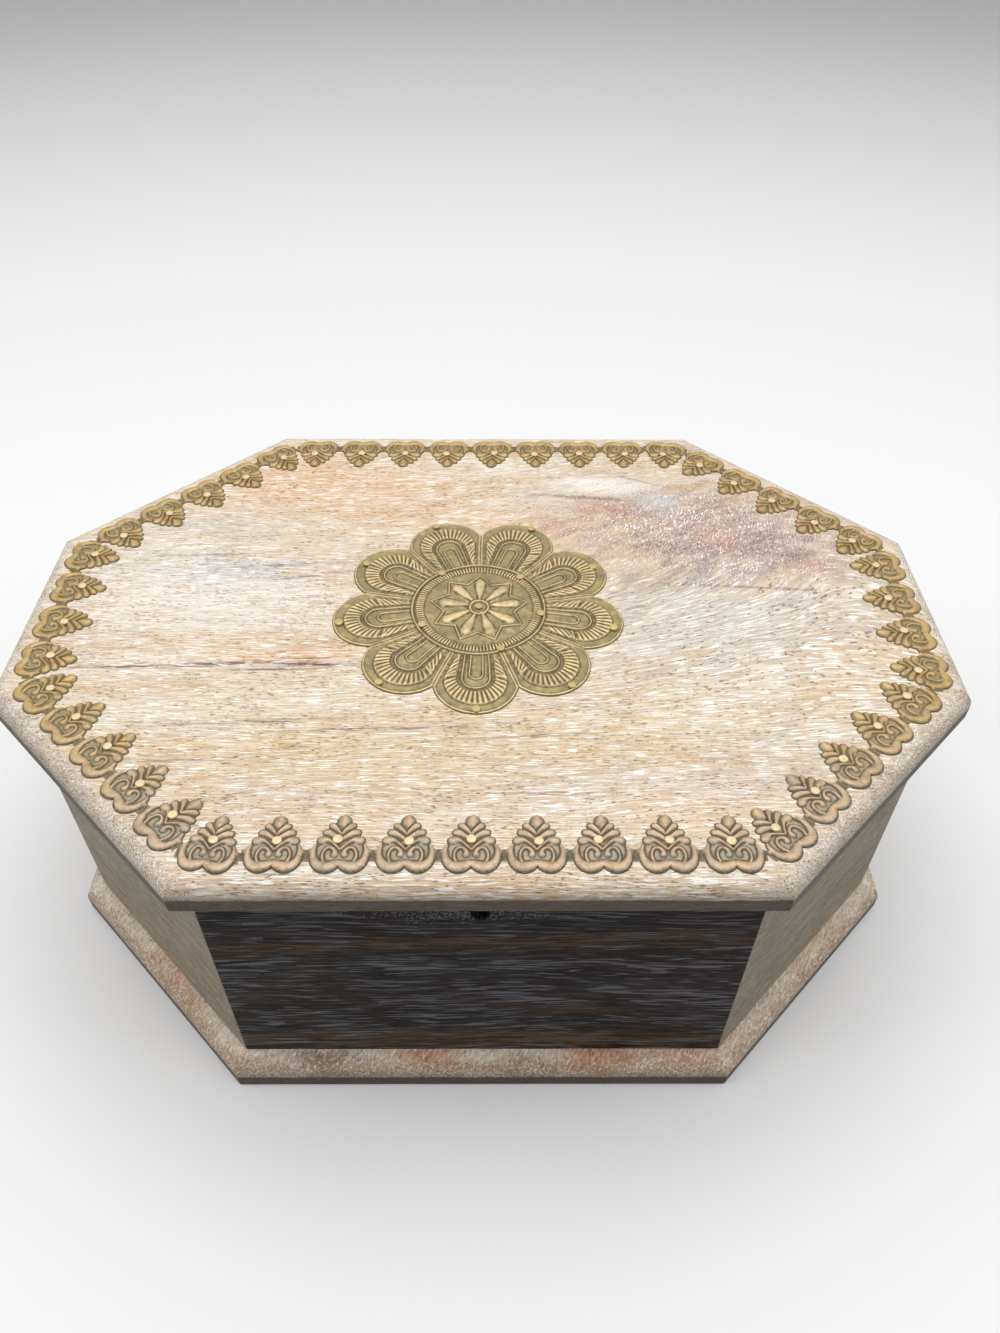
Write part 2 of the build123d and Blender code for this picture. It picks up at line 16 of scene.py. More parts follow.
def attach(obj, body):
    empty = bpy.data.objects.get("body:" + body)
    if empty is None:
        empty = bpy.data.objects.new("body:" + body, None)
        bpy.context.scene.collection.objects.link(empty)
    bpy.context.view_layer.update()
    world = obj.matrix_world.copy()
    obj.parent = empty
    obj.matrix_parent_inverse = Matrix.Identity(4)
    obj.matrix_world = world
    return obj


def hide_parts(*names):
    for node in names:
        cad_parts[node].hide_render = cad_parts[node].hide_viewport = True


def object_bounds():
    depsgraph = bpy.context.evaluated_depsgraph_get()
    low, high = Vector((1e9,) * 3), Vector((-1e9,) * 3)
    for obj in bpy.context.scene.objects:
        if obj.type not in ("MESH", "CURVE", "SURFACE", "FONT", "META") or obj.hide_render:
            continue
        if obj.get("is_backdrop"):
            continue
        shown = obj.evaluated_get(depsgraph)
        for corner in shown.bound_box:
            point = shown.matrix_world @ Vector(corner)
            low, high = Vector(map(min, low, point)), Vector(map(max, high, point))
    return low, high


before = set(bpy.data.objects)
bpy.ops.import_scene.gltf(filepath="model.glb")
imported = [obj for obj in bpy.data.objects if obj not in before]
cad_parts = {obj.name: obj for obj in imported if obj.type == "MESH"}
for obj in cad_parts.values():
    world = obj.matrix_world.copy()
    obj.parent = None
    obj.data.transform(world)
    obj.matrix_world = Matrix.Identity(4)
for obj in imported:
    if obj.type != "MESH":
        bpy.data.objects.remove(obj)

LOG = logging.getLogger("keepsake_box")
MM = 0.001
LID_TOP = 120.0
CORNER_CUT = 70.0
PETALS = 9
Point = tuple[float, float]
Place = tuple[float, float, float]
Colour = tuple[float, float, float, float]


def seen(red: int, green: int, blue: int) -> Colour:
    """Turn a colour as it is seen, each part from 0 to 255, into a linear colour."""
    parts = [part / 255 for part in (red, green, blue)]
    linear = [part / 12.92 if part <= 0.04045 else ((part + 0.055) / 1.055) ** 2.4 for part in parts]
    return (*linear, 1.0)


# ---------------------------------------------------------------- node trees


class Wire:
    """An output socket that other nodes can take."""

    def __init__(self, tree: "Tree", socket: NodeSocket) -> None:
        """Wrap one output socket of a tree."""
        self.tree = tree
        self.socket = socket


def maths(operation: str) -> Callable[..., "Value"]:
    """Make the method of Value that adds one Math node."""
    def result(self: "Value", *others: "Value | float") -> "Value":
        """Work the operation out on this value and the others."""
        inputs = dict(enumerate((self, *others)))
        return self.tree.add(Value, "ShaderNodeMath", {"operation": operation}, inputs)

    return result


class Value(Wire):
    """A number made by nodes. Using it in an expression adds Math nodes."""

    __add__ = __radd__ = maths("ADD")
    __mul__ = __rmul__ = maths("MULTIPLY")
    __sub__ = maths("SUBTRACT")
    __pow__ = maths("POWER")
    __abs__ = maths("ABSOLUTE")
    exponent = maths("EXPONENT")
    most = maths("MAXIMUM")

    def __rsub__(self, other: float) -> "Value":
        """Subtract this from a number."""
        return self * -1.0 + other

    def ramp(self, low: float, high: float) -> "Value":
        """Rise smoothly from 0 at low to 1 at high, or fall where low is the greater."""
        inputs = {"Value": self, "From Min": min(low, high), "From Max": max(low, high)}
        rise = self.tree.add(Value, "ShaderNodeMapRange", {"interpolation_type": "SMOOTHSTEP"}, inputs)
        return rise if low < high else 1.0 - rise

    def towards(self, other: "Value", share: "Value") -> "Value":
        """Go from this value to another by a share."""
        return self + (other - self) * share


class Space(Wire):
    """A place made by nodes, in millimetres."""

    def parts(self) -> list[Value]:
        """Split the place into its three numbers."""
        node = self.tree.node("ShaderNodeSeparateXYZ", inputs={0: self})
        return [Value(self.tree, part) for part in node.outputs]

    def turned(self, heading: float) -> "Space":
        """Turn the place about Z, so that its first axis follows a heading in degrees."""
        inputs = {"Vector": self, "Rotation": (0, 0, -radians(heading))}
        return self.tree.add(Space, "ShaderNodeMapping", {}, inputs)

    def noise(self, size: float | tuple[float, ...], detail: float = 2.0, shift: float = 0.0,
              rough: float = 0.5) -> Value:
        """Read soft noise.

        Args:
            size: How long one blotch is along each axis; the last number does for all that are left.
            detail: How many finer layers are added.
            shift: Where in the noise to read, so that two readings differ.
            rough: How strong the finer layers are.

        Returns:
            A number about 0.5.
        """
        sizes = size if isinstance(size, tuple) else (size,)
        scale = tuple(1 / part for part in (*sizes, sizes[-1], sizes[-1])[:3])
        inputs = {"Vector": self, "Scale": scale, "Location": (shift, 0.7 * shift, 0.4 * shift)}
        place = self.tree.add(Space, "ShaderNodeMapping", {}, inputs)
        inputs = {"Vector": place, "Scale": 1.0, "Detail": detail, "Roughness": rough}
        return self.tree.add(Value, "ShaderNodeTexNoise", {}, inputs, "Fac")


class Tree:
    """A node tree, built by adding nodes and feeding their sockets."""

    def __init__(self, tree: NodeTree) -> None:
        """Take a tree as it is."""
        self.tree = tree

    def node(self, kind: str, settings: dict | None = None, inputs: dict | None = None) -> Node:
        """Add a node.

        Args:
            kind: Blender's type of the node.
            settings: What is set on the node itself, before its sockets.
            inputs: What each socket, by name or number, takes: a plain value, a wire or a socket.

        Returns:
            The new node.
        """
        node = self.tree.nodes.new(kind)
        for name, value in (settings or {}).items():
            setattr(node, name, value)
        for key, value in (inputs or {}).items():
            self.feed(node.inputs[key], value)
        return node

    def add(self, wire: type[Wire], kind: str, settings: dict, inputs: dict, output: int | str = 0) -> Wire:
        """Add a node and wrap one of its outputs."""
        return wire(self, self.node(kind, settings, inputs).outputs[output])

    def feed(self, socket: NodeSocket, value: object) -> None:
        """Link a wire or an output socket to an input, or set a plain value on it."""
        value = value.socket if isinstance(value, Wire) else value
        if isinstance(value, NodeSocket):
            self.tree.links.new(value, socket)
        else:
            socket.default_value = value

    def in_sight(self) -> Value:
        """Give 1 for rays from the camera, mirrored and passing ones too, and 0 for the others."""
        rays = self.node("ShaderNodeLightPath").outputs
        kinds = ("Camera", "Glossy", "Transmission")
        camera, glossy, passing = (Value(self, rays[f"Is {kind} Ray"]) for kind in kinds)
        return camera.most(glossy).most(passing)


class Shader(Tree):
    """The node tree of one material."""

    def __init__(self, name: str) -> None:
        """Start a material with its plain Principled shader."""
        self.material = bpy.data.materials.new(name)
        self.material.use_nodes = True
        super().__init__(self.material.node_tree)
        self.surface = self.tree.nodes["Principled BSDF"]

    def place(self) -> Space:
        """Read Object coordinates in millimetres."""
        inputs = {0: self.node("ShaderNodeTexCoord").outputs["Object"], "Scale": 1 / MM}
        return self.add(Space, "ShaderNodeVectorMath", {"operation": "SCALE"}, inputs)

    def joined(self, x: Value, y: Value, z: Value) -> Space:
        """Join three numbers into a place."""
        return self.add(Space, "ShaderNodeCombineXYZ", {}, {0: x, 1: y, 2: z})

    def mix(self, share: Value, base: Wire | Colour, top: Wire | Colour, blend: str = "MIX") -> Wire:
        """Lay one colour over another by a share."""
        settings = {"data_type": "RGBA", "blend_type": blend, "clamp_factor": True}
        return self.add(Wire, "ShaderNodeMix", settings, {0: share, 6: base, 7: top}, 2)

    def attribute(self, name: str) -> Value:
        """Read a number that the mesh carries at its points."""
        return self.add(Value, "ShaderNodeAttribute", {"attribute_name": name}, {}, "Fac")

    def bump(self, height: Value, distance: float, strength: float) -> None:
        """Shade a height as relief of a distance in millimetres."""
        inputs = {"Height": height, "Distance": distance * MM, "Strength": strength}
        self.feed(self.surface.inputs["Normal"], self.add(Wire, "ShaderNodeBump", {}, inputs))

    def finish(self, **inputs: object) -> Material:
        """Set the Principled shader's sockets, named with underscores for spaces."""
        for name, value in inputs.items():
            self.feed(self.surface.inputs[name.replace("_", " ")], value)
        return self.material


# ---------------------------------------------------------------- finishes


class Lie(Enum):
    """How a board lies: its face looks up, or stands upright."""

    FLAT = "flat"
    UPRIGHT = "upright"


@dataclass(frozen=True)
class Figure:
    """A soft patch of another colour in a board.

    Its middle along and across the board, its half length, half width and turn, how much of the
    colour it takes at most, how ragged its edge is, and how much wax is missing there. Lengths
    are in millimetres and the turn is in degrees.
    """

    along: float
    across: float
    half_length: float
    half_width: float
    turn: float
    colour: Colour
    share: float
    ragged: float = 0.5
    bare: float = 0.0

    def mask(self, along: Value, across: Value, ragged: Value) -> Value:
        """Give the patch's share at each place, with an edge broken up by noise."""
        cosine, sine = cos(radians(self.turn)), sin(radians(self.turn))
        dx, dy = along - self.along, across - self.across
        length = (dx * cosine + dy * sine) * (1 / self.half_length)
        width = (dy * cosine - dx * sine) * (1 / self.half_width)
        reach = (length * length + width * width) ** 0.5
        return (reach + (ragged - 0.5) * (4.0 * self.ragged)).ramp(1.25, 0.2) * self.share


def figured(*rows: tuple) -> tuple[Figure, ...]:
    """Make a figure from each row of its fields."""
    return tuple(Figure(*row) for row in rows)


@dataclass(frozen=True)
class Burl:
    """A place where the grain bends round, with its half sizes and the most that it bends."""

    along: float
    across: float
    half_length: float
    half_width: float
    lift: float

    def swell(self, along: Value, across: Value) -> Value:
        """Give how far the grain is pushed aside."""
        length = (along - self.along) * (1 / self.half_length)
        width = (across - self.across) * (1 / self.half_width)
        return ((length * length + width * width) * -1.0).exponent() * self.lift


@dataclass(frozen=True)
class LimedWood:
    """Open-grained hardwood with white wax rubbed into its pores.

    A mark's size is its length along the grain and its width across it, in millimetres. A share is
    how much of its colour a mark takes, and a level is how rare it is. Short marks stand in for the
    long dashes where the board is pored. The foot is painted shade: the dark low side of the edge,
    where it turns down out of the light.
    """

    name: str
    lie: Lie = Lie.FLAT
    heading: float = 0.0
    pale: Colour = seen(216, 201, 175)
    warm: Colour = seen(207, 175, 129)
    cool: Colour = seen(200, 189, 178)
    fibre: Colour = seen(168, 138, 104)
    lime: Colour = seen(255, 252, 244)
    pore: Colour = seen(98, 76, 58)
    edge: Colour = seen(214, 170, 124)
    # The foot colour is painted shade on the edge's low side.
    foot: Colour = seen(66, 58, 48)
    warm_share: float = 0.6
    cool_share: float = 0.5
    fibre_share: float = 0.34
    strand_share: float = 0.34
    lime_share: float = 0.85
    lime_level: float = 0.575
    lime_soft: float = 0.045
    pore_share: float = 0.7
    pore_level: float = 0.655
    pore_soft: float = 0.04
    pore_length: float = 2.0
    dash_size: Point = (6.0, 0.42)
    short_size: Point = (1.6, 0.46)
    short_drop: float = 0.025
    short_heading: float = 64.0
    fibre_size: Point = (12.0, 0.6)
    clump_size: Point = (14.0, 4.5)
    clump_share: float = 0.3
    sway: float = 9.0
    waver: float = 1.8
    speck_share: float = 0.14
    # Painted shade: the height below which the edge takes the foot colour, and how much of it.
    painted_shade_level: float = 0.0
    painted_shade_share: float = 0.0
    edge_share: float = 0.6
    edge_band: float = 7.0
    edge_ragged: float = 6.0
    end_share: float = 0.0
    seed: float = 0.0
    roughness: float = 0.62
    gloss: float = 0.35
    figures: tuple[Figure, ...] = ()
    burl: Burl | None = None
    pored: Figure | None = None

    def build(self) -> Material:
        """Make the material."""
        shader, seed = Shader(self.name), self.seed
        x, y, z = shader.place().turned(self.heading).parts()
        along, across, depth = (x, y, z) if self.lie is Lie.FLAT else (x, z, y)
        raw = shader.joined(along, across, depth)
        bend = across + (raw.noise((80, 30), 1.0, 3.1 + seed) - 0.5) * self.sway
        bend = bend + (raw.noise((24, 9), 1.0, 5.3 + seed) - 0.5) * self.waver
        if self.burl:
            bend = bend - self.burl.swell(along, across)
        grain = shader.joined(along, bend, depth)

        warmth = grain.noise((95, 13), 2.5, seed).ramp(0.40, 0.64)
        tint = shader.mix(warmth * self.warm_share, self.pale, self.warm)
        chill = grain.noise((48, 20), 2.5, 14.0 + seed).ramp(0.46, 0.68)
        tint = shader.mix(chill * self.cool_share, tint, self.cool)
        ragged = grain.noise((9, 4.5), 3.0, 31.0 + seed)
        dash = grain.noise(self.dash_size, 1.0, 61.0 + seed)
        for figure in self.figures:
            mask = figure.mask(along, across, ragged)
            tint = shader.mix(mask, tint, figure.colour)
            if figure.bare:
                dash = dash - mask * figure.bare

        fine = raw.noise((0.42, 0.34), 2.0, 90.0)
        clumps = (grain.noise(self.clump_size, 2.0, 52.0 + seed) - 0.5) * self.clump_share
        fibres = grain.noise(self.fibre_size, 2.0, 40.0 + seed, 0.6)
        dark_dash = grain.noise((self.pore_length, 0.9 * self.dash_size[1]), 1.0, 77.0 + seed)
        if self.pored:
            short = self.pored.mask(along, across, ragged)
            tilted = raw.turned(self.short_heading)
            long, wide = self.short_size
            dash = dash.towards(tilted.noise((long, wide), 1.5, 11.0) - self.short_drop, short)
            fleck = tilted.noise((0.8 * long, 0.85 * wide), 1.5, 25.0)
            dark_dash = dark_dash.towards(fleck, short) + short * 0.06
            fibres = fibres.towards(tilted.noise((1.3 * long, 1.4 * wide), 3.0, 47.0, 0.65), short)
        if self.edge_share:
            half_long, half_wide = (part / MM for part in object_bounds()[1][:2])
            diagonal = half_long + half_wide - CORNER_CUT
            ends = (abs(x) - half_long).most((abs(x) + abs(y) - diagonal) * sqrt(0.5))
            out = ends.most(abs(y) - half_wide)
            worn = (out + (ragged - 0.5) * self.edge_ragged).ramp(-self.edge_band, -0.2 * self.edge_band)
            tint = shader.mix(worn * self.edge_share, tint, self.edge)
            dash, dark_dash = dash + worn * 0.04, dark_dash + worn * 0.02
            if self.end_share:
                end_grain = (ends + (ragged - 0.5) * 2.0).ramp(-self.edge_band, -0.5 * self.edge_band)
                dash = dash.towards(raw.noise(0.5, 1.0, 33.0) - 0.01, end_grain)
                dark_dash = dark_dash.towards(raw.noise(0.45, 1.0, 37.0) + 0.05, end_grain)
                tint = shader.mix(end_grain * self.end_share, tint, self.cool)

        dark = (dark_dash - clumps).ramp(self.pore_level, self.pore_level + self.pore_soft)
        lime = (dash + clumps).ramp(self.lime_level, self.lime_level + self.lime_soft)
        for share, colour in (
            (fibres.ramp(0.49, 0.62) * self.fibre_share, self.fibre),
            (fibres.ramp(0.49, 0.37) * self.strand_share, self.lime),
            (dark * self.pore_share, self.pore),
            (lime * self.lime_share, self.lime),
            (fine.ramp(0.45, 0.75) * self.speck_share, self.pore),
        ):
            tint = shader.mix(share, tint, colour)
        # Painted shade: the low side of the outer edge, below the foot level, takes the foot colour where it
        # turns down out of the light.
        if self.painted_shade_share:
            below = (z * -1.0 + (self.painted_shade_level + (ragged - 0.5) * 1.2)).ramp(-0.3, 0.7)
            tint = shader.mix(below * out.ramp(-1.3, -0.7) * self.painted_shade_share, tint, self.foot)
        shader.bump(lime * 0.9 - dark * 1.1 + fine * 0.4 + fibres * 1.2, 0.14, 0.9)
        rough = self.roughness + (fine - 0.5) * 0.2
        return shader.finish(Base_Color=tint, Roughness=rough, Specular_IOR_Level=self.gloss)


@dataclass(frozen=True)
class AgedBrass:
    """Thin brass sheet, dark in its hollows and rubbed bright on its ridges, with a painted golden sheen
    to the rear that stands in for the light that it mirrors there.

    The painted sheen starts its front distance, in millimetres, before the lid's middle and is full
    after its run.
    """

    name: str
    hollow: Colour = seen(76, 64, 50)
    sheet: Colour = seen(146, 135, 112)
    ridge: Colour = seen(186, 161, 129)
    stain: Colour = seen(142, 140, 122)
    blush: Colour = seen(196, 150, 122)
    rear_sheen: Colour = seen(255, 244, 190)
    stain_share: float = 0.6
    dirt_share: float = 0.80
    mottle_share: float = 0.34
    rear_sheen_share: float = 0.85
    rear_sheen_front: float = 92.0
    rear_sheen_run: float = 50.0
    metallic: float = 0.35
    roughness: float = 0.46

    def build(self) -> Material:
        """Make the material, which reads the sheet's relief and cavity at its points."""
        shader = Shader(self.name)
        place = shader.place()
        relief, cavity = shader.attribute("relief"), shader.attribute("cavity")
        blotch = place.noise(4.5, 3.0, 2.0, 0.6)
        grime = place.noise(0.9, 3.0, 8.0)
        rubbed = shader.mix(place.noise(2.6, 2.0, 17.0).ramp(0.50, 0.72) * 0.6, self.ridge, self.blush)
        crest = (0.5 - cavity) * 1.6 + relief * 0.75
        worn = (crest + (grime - 0.5) * 0.3 + (blotch - 0.5) * 0.5).ramp(0.25, 0.85)
        dirt = (cavity + (grime - 0.5) * 0.35).ramp(0.50, 0.84)
        # Painted sheen: towards the rear the brass turns golden and its hollows darken less, standing in for
        # the light that it mirrors there.
        rear = (place.parts()[1] + self.rear_sheen_front) * (1 / self.rear_sheen_run)
        rear_sheen = (rear + (blotch - 0.5) * 1.2).ramp(0.0, 1.0) * self.rear_sheen_share
        tint: Wire | Colour = self.sheet
        for share, colour in (
            (blotch.ramp(0.36, 0.70) * self.stain_share, self.stain),
            (worn * 0.92, rubbed),
            (place.noise(7, 2.0, 29.0).ramp(0.50, 0.66) * 0.4, self.stain),
            (place.noise(2.2, 3.0, 11.0, 0.65).ramp(0.46, 0.66) * self.mottle_share, self.hollow),
            (place.noise(3.4, 3.0, 37.0, 0.6).ramp(0.54, 0.70) * self.mottle_share, self.ridge),
            (dirt * (self.dirt_share - rear_sheen * 0.3), self.hollow),
        ):
            tint = shader.mix(share, tint, colour)
        # Lay the painted golden sheen over the rear.
        tint = shader.mix(rear_sheen, tint, self.rear_sheen, "MULTIPLY")
        shader.bump(grime * 0.6 + blotch, 0.16, 0.6)
        rough = dirt * 0.25 + self.roughness + (grime - 0.5) * 0.2
        return shader.finish(Base_Color=tint, Roughness=rough, Metallic=self.metallic)


@dataclass(frozen=True)
class Metal:
    """Plain cast or turned metal with a worn, slightly mottled face."""

    name: str
    base: Colour
    tarnish: Colour
    metallic: float = 0.9
    roughness: float = 0.35

    def build(self) -> Material:
        """Make the material."""
        shader = Shader(self.name)
        blotch = shader.place().noise(1.6, 3.0, 4.0)
        tint = shader.mix(blotch.ramp(0.5, 0.75) * 0.6, self.base, self.tarnish)
        shader.bump(blotch, 0.05, 0.5)
        rough = self.roughness + (blotch - 0.5) * 0.3
        return shader.finish(Base_Color=tint, Roughness=rough, Metallic=self.metallic)


@dataclass(frozen=True)
class Felt:
    """Short-napped felt."""

    name: str
    deep: Colour = seen(92, 20, 26)
    nap: Colour = seen(140, 44, 46)

    def build(self) -> Material:
        """Make the material."""
        shader = Shader(self.name)
        place = shader.place()
        fibres = place.noise(0.7, 4.0, 1.0, 0.7)
        brushed = place.noise((16, 22, 20), 2.0, 6.0)
        share = fibres.ramp(0.35, 0.7) * 0.6 + brushed.ramp(0.4, 0.7) * 0.3
        tint = shader.mix(share, self.deep, self.nap)
        shader.bump(fibres, 0.3, 0.8)
        return shader.finish(Base_Color=tint, Roughness=0.95, Sheen_Weight=0.4)


# ---------------------------------------------------------------- meshes


def smoothed(rows: Sequence[Sequence[float]]) -> np.ndarray:
    """Round off the corners of a path by cutting them twice."""
    path = np.array(rows, float)
    for _ in range(2):
        near, far = path[:-1] * 0.75 + path[1:] * 0.25, path[:-1] * 0.25 + path[1:] * 0.75
        path = np.vstack([path[:1], np.stack([near, far], 1).reshape(-1, path.shape[1]), path[-1:]])
    return path


def spaced(path: np.ndarray, step: float) -> np.ndarray:
    """Give points along a path, about one step apart."""
    gaps = np.hypot(*np.diff(path[:, :2], axis=0).T)
    reach = np.concatenate([[0], np.cumsum(gaps)])
    marks = np.linspace(0, reach[-1], max(2, ceil(reach[-1] / step) + 1))
    return np.column_stack([np.interp(marks, reach, column) for column in path.T])


def rolled(share: np.ndarray) -> np.ndarray:
    """Turn a share, held between 0 and 1, from a slope into a quarter round."""
    return np.sqrt(1 - (1 - np.clip(share, 0, 1)) ** 2)


def domed(span: np.ndarray, fullness: float = 1.0) -> np.ndarray:
    """Give the section of a ridge, 1 at its middle and 0 where the span reaches 1."""
    return np.clip(1 - span**2, 0, 1) ** fullness


def arc(radius: float, turns: np.ndarray, middle: Sequence[float] = (0.0, 0.0)) -> np.ndarray:
    """Give the points at a radius and at turns, in radians, about a middle."""
    return radius * np.column_stack([np.cos(turns), np.sin(turns)]) + middle


def triangulated(points: list, edges: list[tuple[int, int]], rim: int,
                 near: float) -> tuple[np.ndarray, list[tuple[int, ...]], list[int]]:
    """Triangulate the inside of a rim.

    Args:
        points: The points, those of the rim first.
        edges: The pairs of points that triangles have to join.
        rim: How many points the rim has.
        near: How near two points count as one.

    Returns:
        The points, the triangles, and the new number of each point of the rim.
    """
    found = delaunay_2d_cdt([Vector(spot) for spot in points], edges, [list(range(rim))], 1, near)
    moved = {old: new for new, olds in enumerate(found[3]) for old in olds}
    flat = np.array([tuple(spot) for spot in found[0]])
    return flat, [tuple(face) for face in found[2]], [moved[number] for number in range(rim)]


def meshed(name: str, places: Sequence[Sequence[float]], faces: list[tuple[int, ...]]) -> Mesh:
    """Make a smooth-shaded mesh from places in millimetres."""
    mesh = bpy.data.meshes.new(name)
    mesh.from_pydata((np.array(places) * MM).tolist(), [], faces)
    mesh.shade_smooth()
    return mesh


def placed(name: str, data: ID) -> Object:
    """Make an object and link it to the scene."""
    thing = bpy.data.objects.new(name, data)
    bpy.context.scene.collection.objects.link(thing)
    return thing


def revolved(name: str, profile: list[Point], sides: int) -> Mesh:
    """Turn a profile of radius and height, in millimetres, about Z into a closed mesh.

    Args:
        name: The mesh's name.
        profile: Points from the foot to the crown; the last lies on the axis.
        sides: How many sides it has.

    Returns:
        The mesh.
    """
    turns = [2 * pi * n / sides for n in range(sides)]
    places = [(r * cos(turn), r * sin(turn), h) for r, h in profile[:-1] for turn in turns]
    rows = range(0, len(places) - sides, sides)
    pairs = [(n, (n + 1) % sides) for n in range(sides)]
    faces = [(row + n, row + m, row + sides + m, row + sides + n) for row in rows for n, m in pairs]
    last = len(places) - sides
    faces += [(last + n, last + m, len(places)) for n, m in pairs]
    faces.append(tuple(reversed(range(sides))))
    return meshed(name, [*places, (0.0, 0.0, profile[-1][1])], faces)


# ---------------------------------------------------------------- embossed relief


class Ridge:
    """A raised line in embossed sheet, with its own half width at each point of its path.

    The mesh follows its crest and foot, and where it is wide a line between them too.
    """

    wide = 0.6
    between = 0.6

    def __init__(self, rows: Sequence[Sequence[float]], height: float, fullness: float = 0.8) -> None:
        """Lay the ridge.

        Args:
            rows: The x, y and half width of the points of its path.
            height: How high it stands over the sheet.
            fullness: How full its section is: 1 is a parabola, and less is fuller.
        """
        self.path = smoothed(rows)
        self.height = height
        self.fullness = fullness

    def mirrored(self) -> "Ridge":
        """Give the same ridge on the other side, rounded once more."""
        return Ridge(self.path * (-1, 1, 1), self.height, self.fullness)

    def rise(self, spots: np.ndarray) -> np.ndarray:
        """Give the height that the ridge adds at each spot."""
        best = np.zeros(len(spots))
        for first, second in zip(self.path, self.path[1:]):
            run = second[:2] - first[:2]
            share = np.clip((spots - first[:2]) @ run / max(run @ run, 1e-9), 0, 1)
            apart = np.hypot(*(spots - first[:2] - share[:, None] * run).T)
            half = first[2] + (second[2] - first[2]) * share
            best = np.maximum(best, domed(apart / half, self.fullness))
        return self.height * best

    def lines(self, step: float) -> list[np.ndarray]:
        """Give the lines that a mesh has to follow."""
        rows = spaced(self.path, step)
        run = np.gradient(rows[:, :2], axis=0)
        side = np.column_stack([-run[:, 1], run[:, 0]]) / np.maximum(np.hypot(*run.T), 1e-9)[:, None]
        found = [rows[:, :2]]
        for share in (1.0, self.between) if rows[:, 2].max() > self.wide else (1.0,):
            half = side * rows[:, 2:] * share
            left, right = rows[:, :2] + half, rows[:, :2] - half
            caps = [self.cap(rows[end], way * side[end], share, step) for end, way in ((-1, 1), (0, -1))]
            found.append(np.vstack([left, caps[0], right[::-1], caps[1], left[:1]]))
        return found

    def cap(self, row: np.ndarray, side: np.ndarray, share: float, step: float) -> np.ndarray:
        """Give the half circle that closes an end, turning clockwise from one side."""
        radius = row[2] * share
        turns = np.linspace(0, pi, ceil(pi * radius / step) + 1)[1:-1]
        return arc(radius, atan2(side[1], side[0]) - turns, row[:2])


class Embossing:
    """A piece of thin sheet with a relief, drawn in millimetres on a plane.

    The sheet and its edge are heights over the lid, roll is how wide the edge is rolled down, and
    margin is how far from the outline the mesh's inner points keep. Those of its grid keep a
    share of a step, spacing, from the others. Cavity, which the finish reads, is how far a spot
    lies below those around it at cavity_reach.
    """

    sheet = 0.32
    edge = 0.14
    roll = 0.5
    step = 0.46
    line_step = 0.30
    margin = 0.16
    spacing = 0.6
    march = 0.02
    cavity_reach = 0.55
    cavity_gain = 2.2
    full_relief = 0.75
    back_cavity = 0.3

    def inside(self, spots: np.ndarray) -> np.ndarray:
        """Give a depth that is over 0 inside the outline, about how far inside."""
        raise NotImplementedError

    def relief(self, spots: np.ndarray) -> np.ndarray:
        """Give the height of the relief over the flat sheet."""
        raise NotImplementedError

    def loop(self) -> tuple[np.ndarray, int]:
        """Give the closed outline, and how many of its spans are a true edge of the sheet."""
        raise NotImplementedError

    def lines(self) -> list[np.ndarray]:
        """Give the lines of the relief that the mesh has to follow."""
        raise NotImplementedError

    def clear(self, spots: np.ndarray) -> np.ndarray:
        """Say which spots lie well inside the outline."""
        return self.inside(spots) > self.margin

    def worn(self, spots: np.ndarray) -> np.ndarray:
        """Give how much of its hollows each spot keeps dark."""
        return np.ones(len(spots))

    def height(self, spots: np.ndarray) -> np.ndarray:
        """Give the whole height, rolled down at the sheet's edge."""
        roll = rolled(self.inside(spots) / self.roll)
        return self.edge + (self.sheet - self.edge + self.relief(spots)) * roll

    def layout(self, outline: np.ndarray) -> tuple[list, list[tuple[int, int]]]:
        """Lay out the mesh's points, the outline first, and the edges that it has to keep."""
        points = [tuple(spot) for spot in outline]
        edges = []
        for line in self.lines():
            clear = self.clear(line)
            for number in np.flatnonzero(clear):
                points.append(tuple(line[number]))
                if number and clear[number - 1]:
                    edges.append((len(points) - 2, len(points) - 1))
        tree = KDTree(len(points))
        for number, (x, y) in enumerate(points):
            tree.insert((x, y, 0), number)
        tree.balance()
        low, high = outline.min(0), outline.max(0)
        rows = np.arange(low[1], high[1], self.step * sqrt(0.75))
        grid = np.array([
            (x + (number % 2) * self.step / 2, y)
            for number, y in enumerate(rows) for x in np.arange(low[0], high[0], self.step)
        ])
        grid = grid[self.clear(grid)]
        apart = self.spacing * self.step
        return points + [(x, y) for x, y in grid if tree.find((x, y, 0))[2] > apart], edges

    def mesh(self, name: str) -> Mesh:
        """Triangulate the outline, raise its points and close the edge and the back."""
        outline, open_count = self.loop()
        flat, faces, loop = triangulated(*self.layout(outline), len(outline), 1e-6)
        heights = self.height(flat)
        turns = np.arange(8) * pi / 4
        around = [self.height(flat + self.cavity_reach * np.array((cos(turn), sin(turn)))) for turn in turns]
        cavity = (np.mean(around, 0) - heights) * self.worn(flat)
        back = [len(flat) + number for number in range(len(loop))]
        spans = [(number, (number + 1) % len(loop)) for number in range(open_count)]
        faces += [(loop[here], back[here], back[there], loop[there]) for here, there in spans]
        faces.append(tuple(reversed(back)))
        foot = np.column_stack([flat[loop], np.zeros(len(loop))])
        mesh = meshed(name, np.vstack([np.column_stack([flat, heights]), foot]), faces)
        for label, numbers in (
            ("relief", np.clip((heights - self.sheet) / self.full_relief, 0, 1)),
            ("cavity", np.clip(0.5 + cavity * self.cavity_gain, 0, 1)),
        ):
            full = np.concatenate([numbers, np.full(len(loop), self.back_cavity)])
            mesh.attributes.new(label, "FLOAT", "POINT").data.foreach_set("value", full.astype(np.float32))
        return mesh


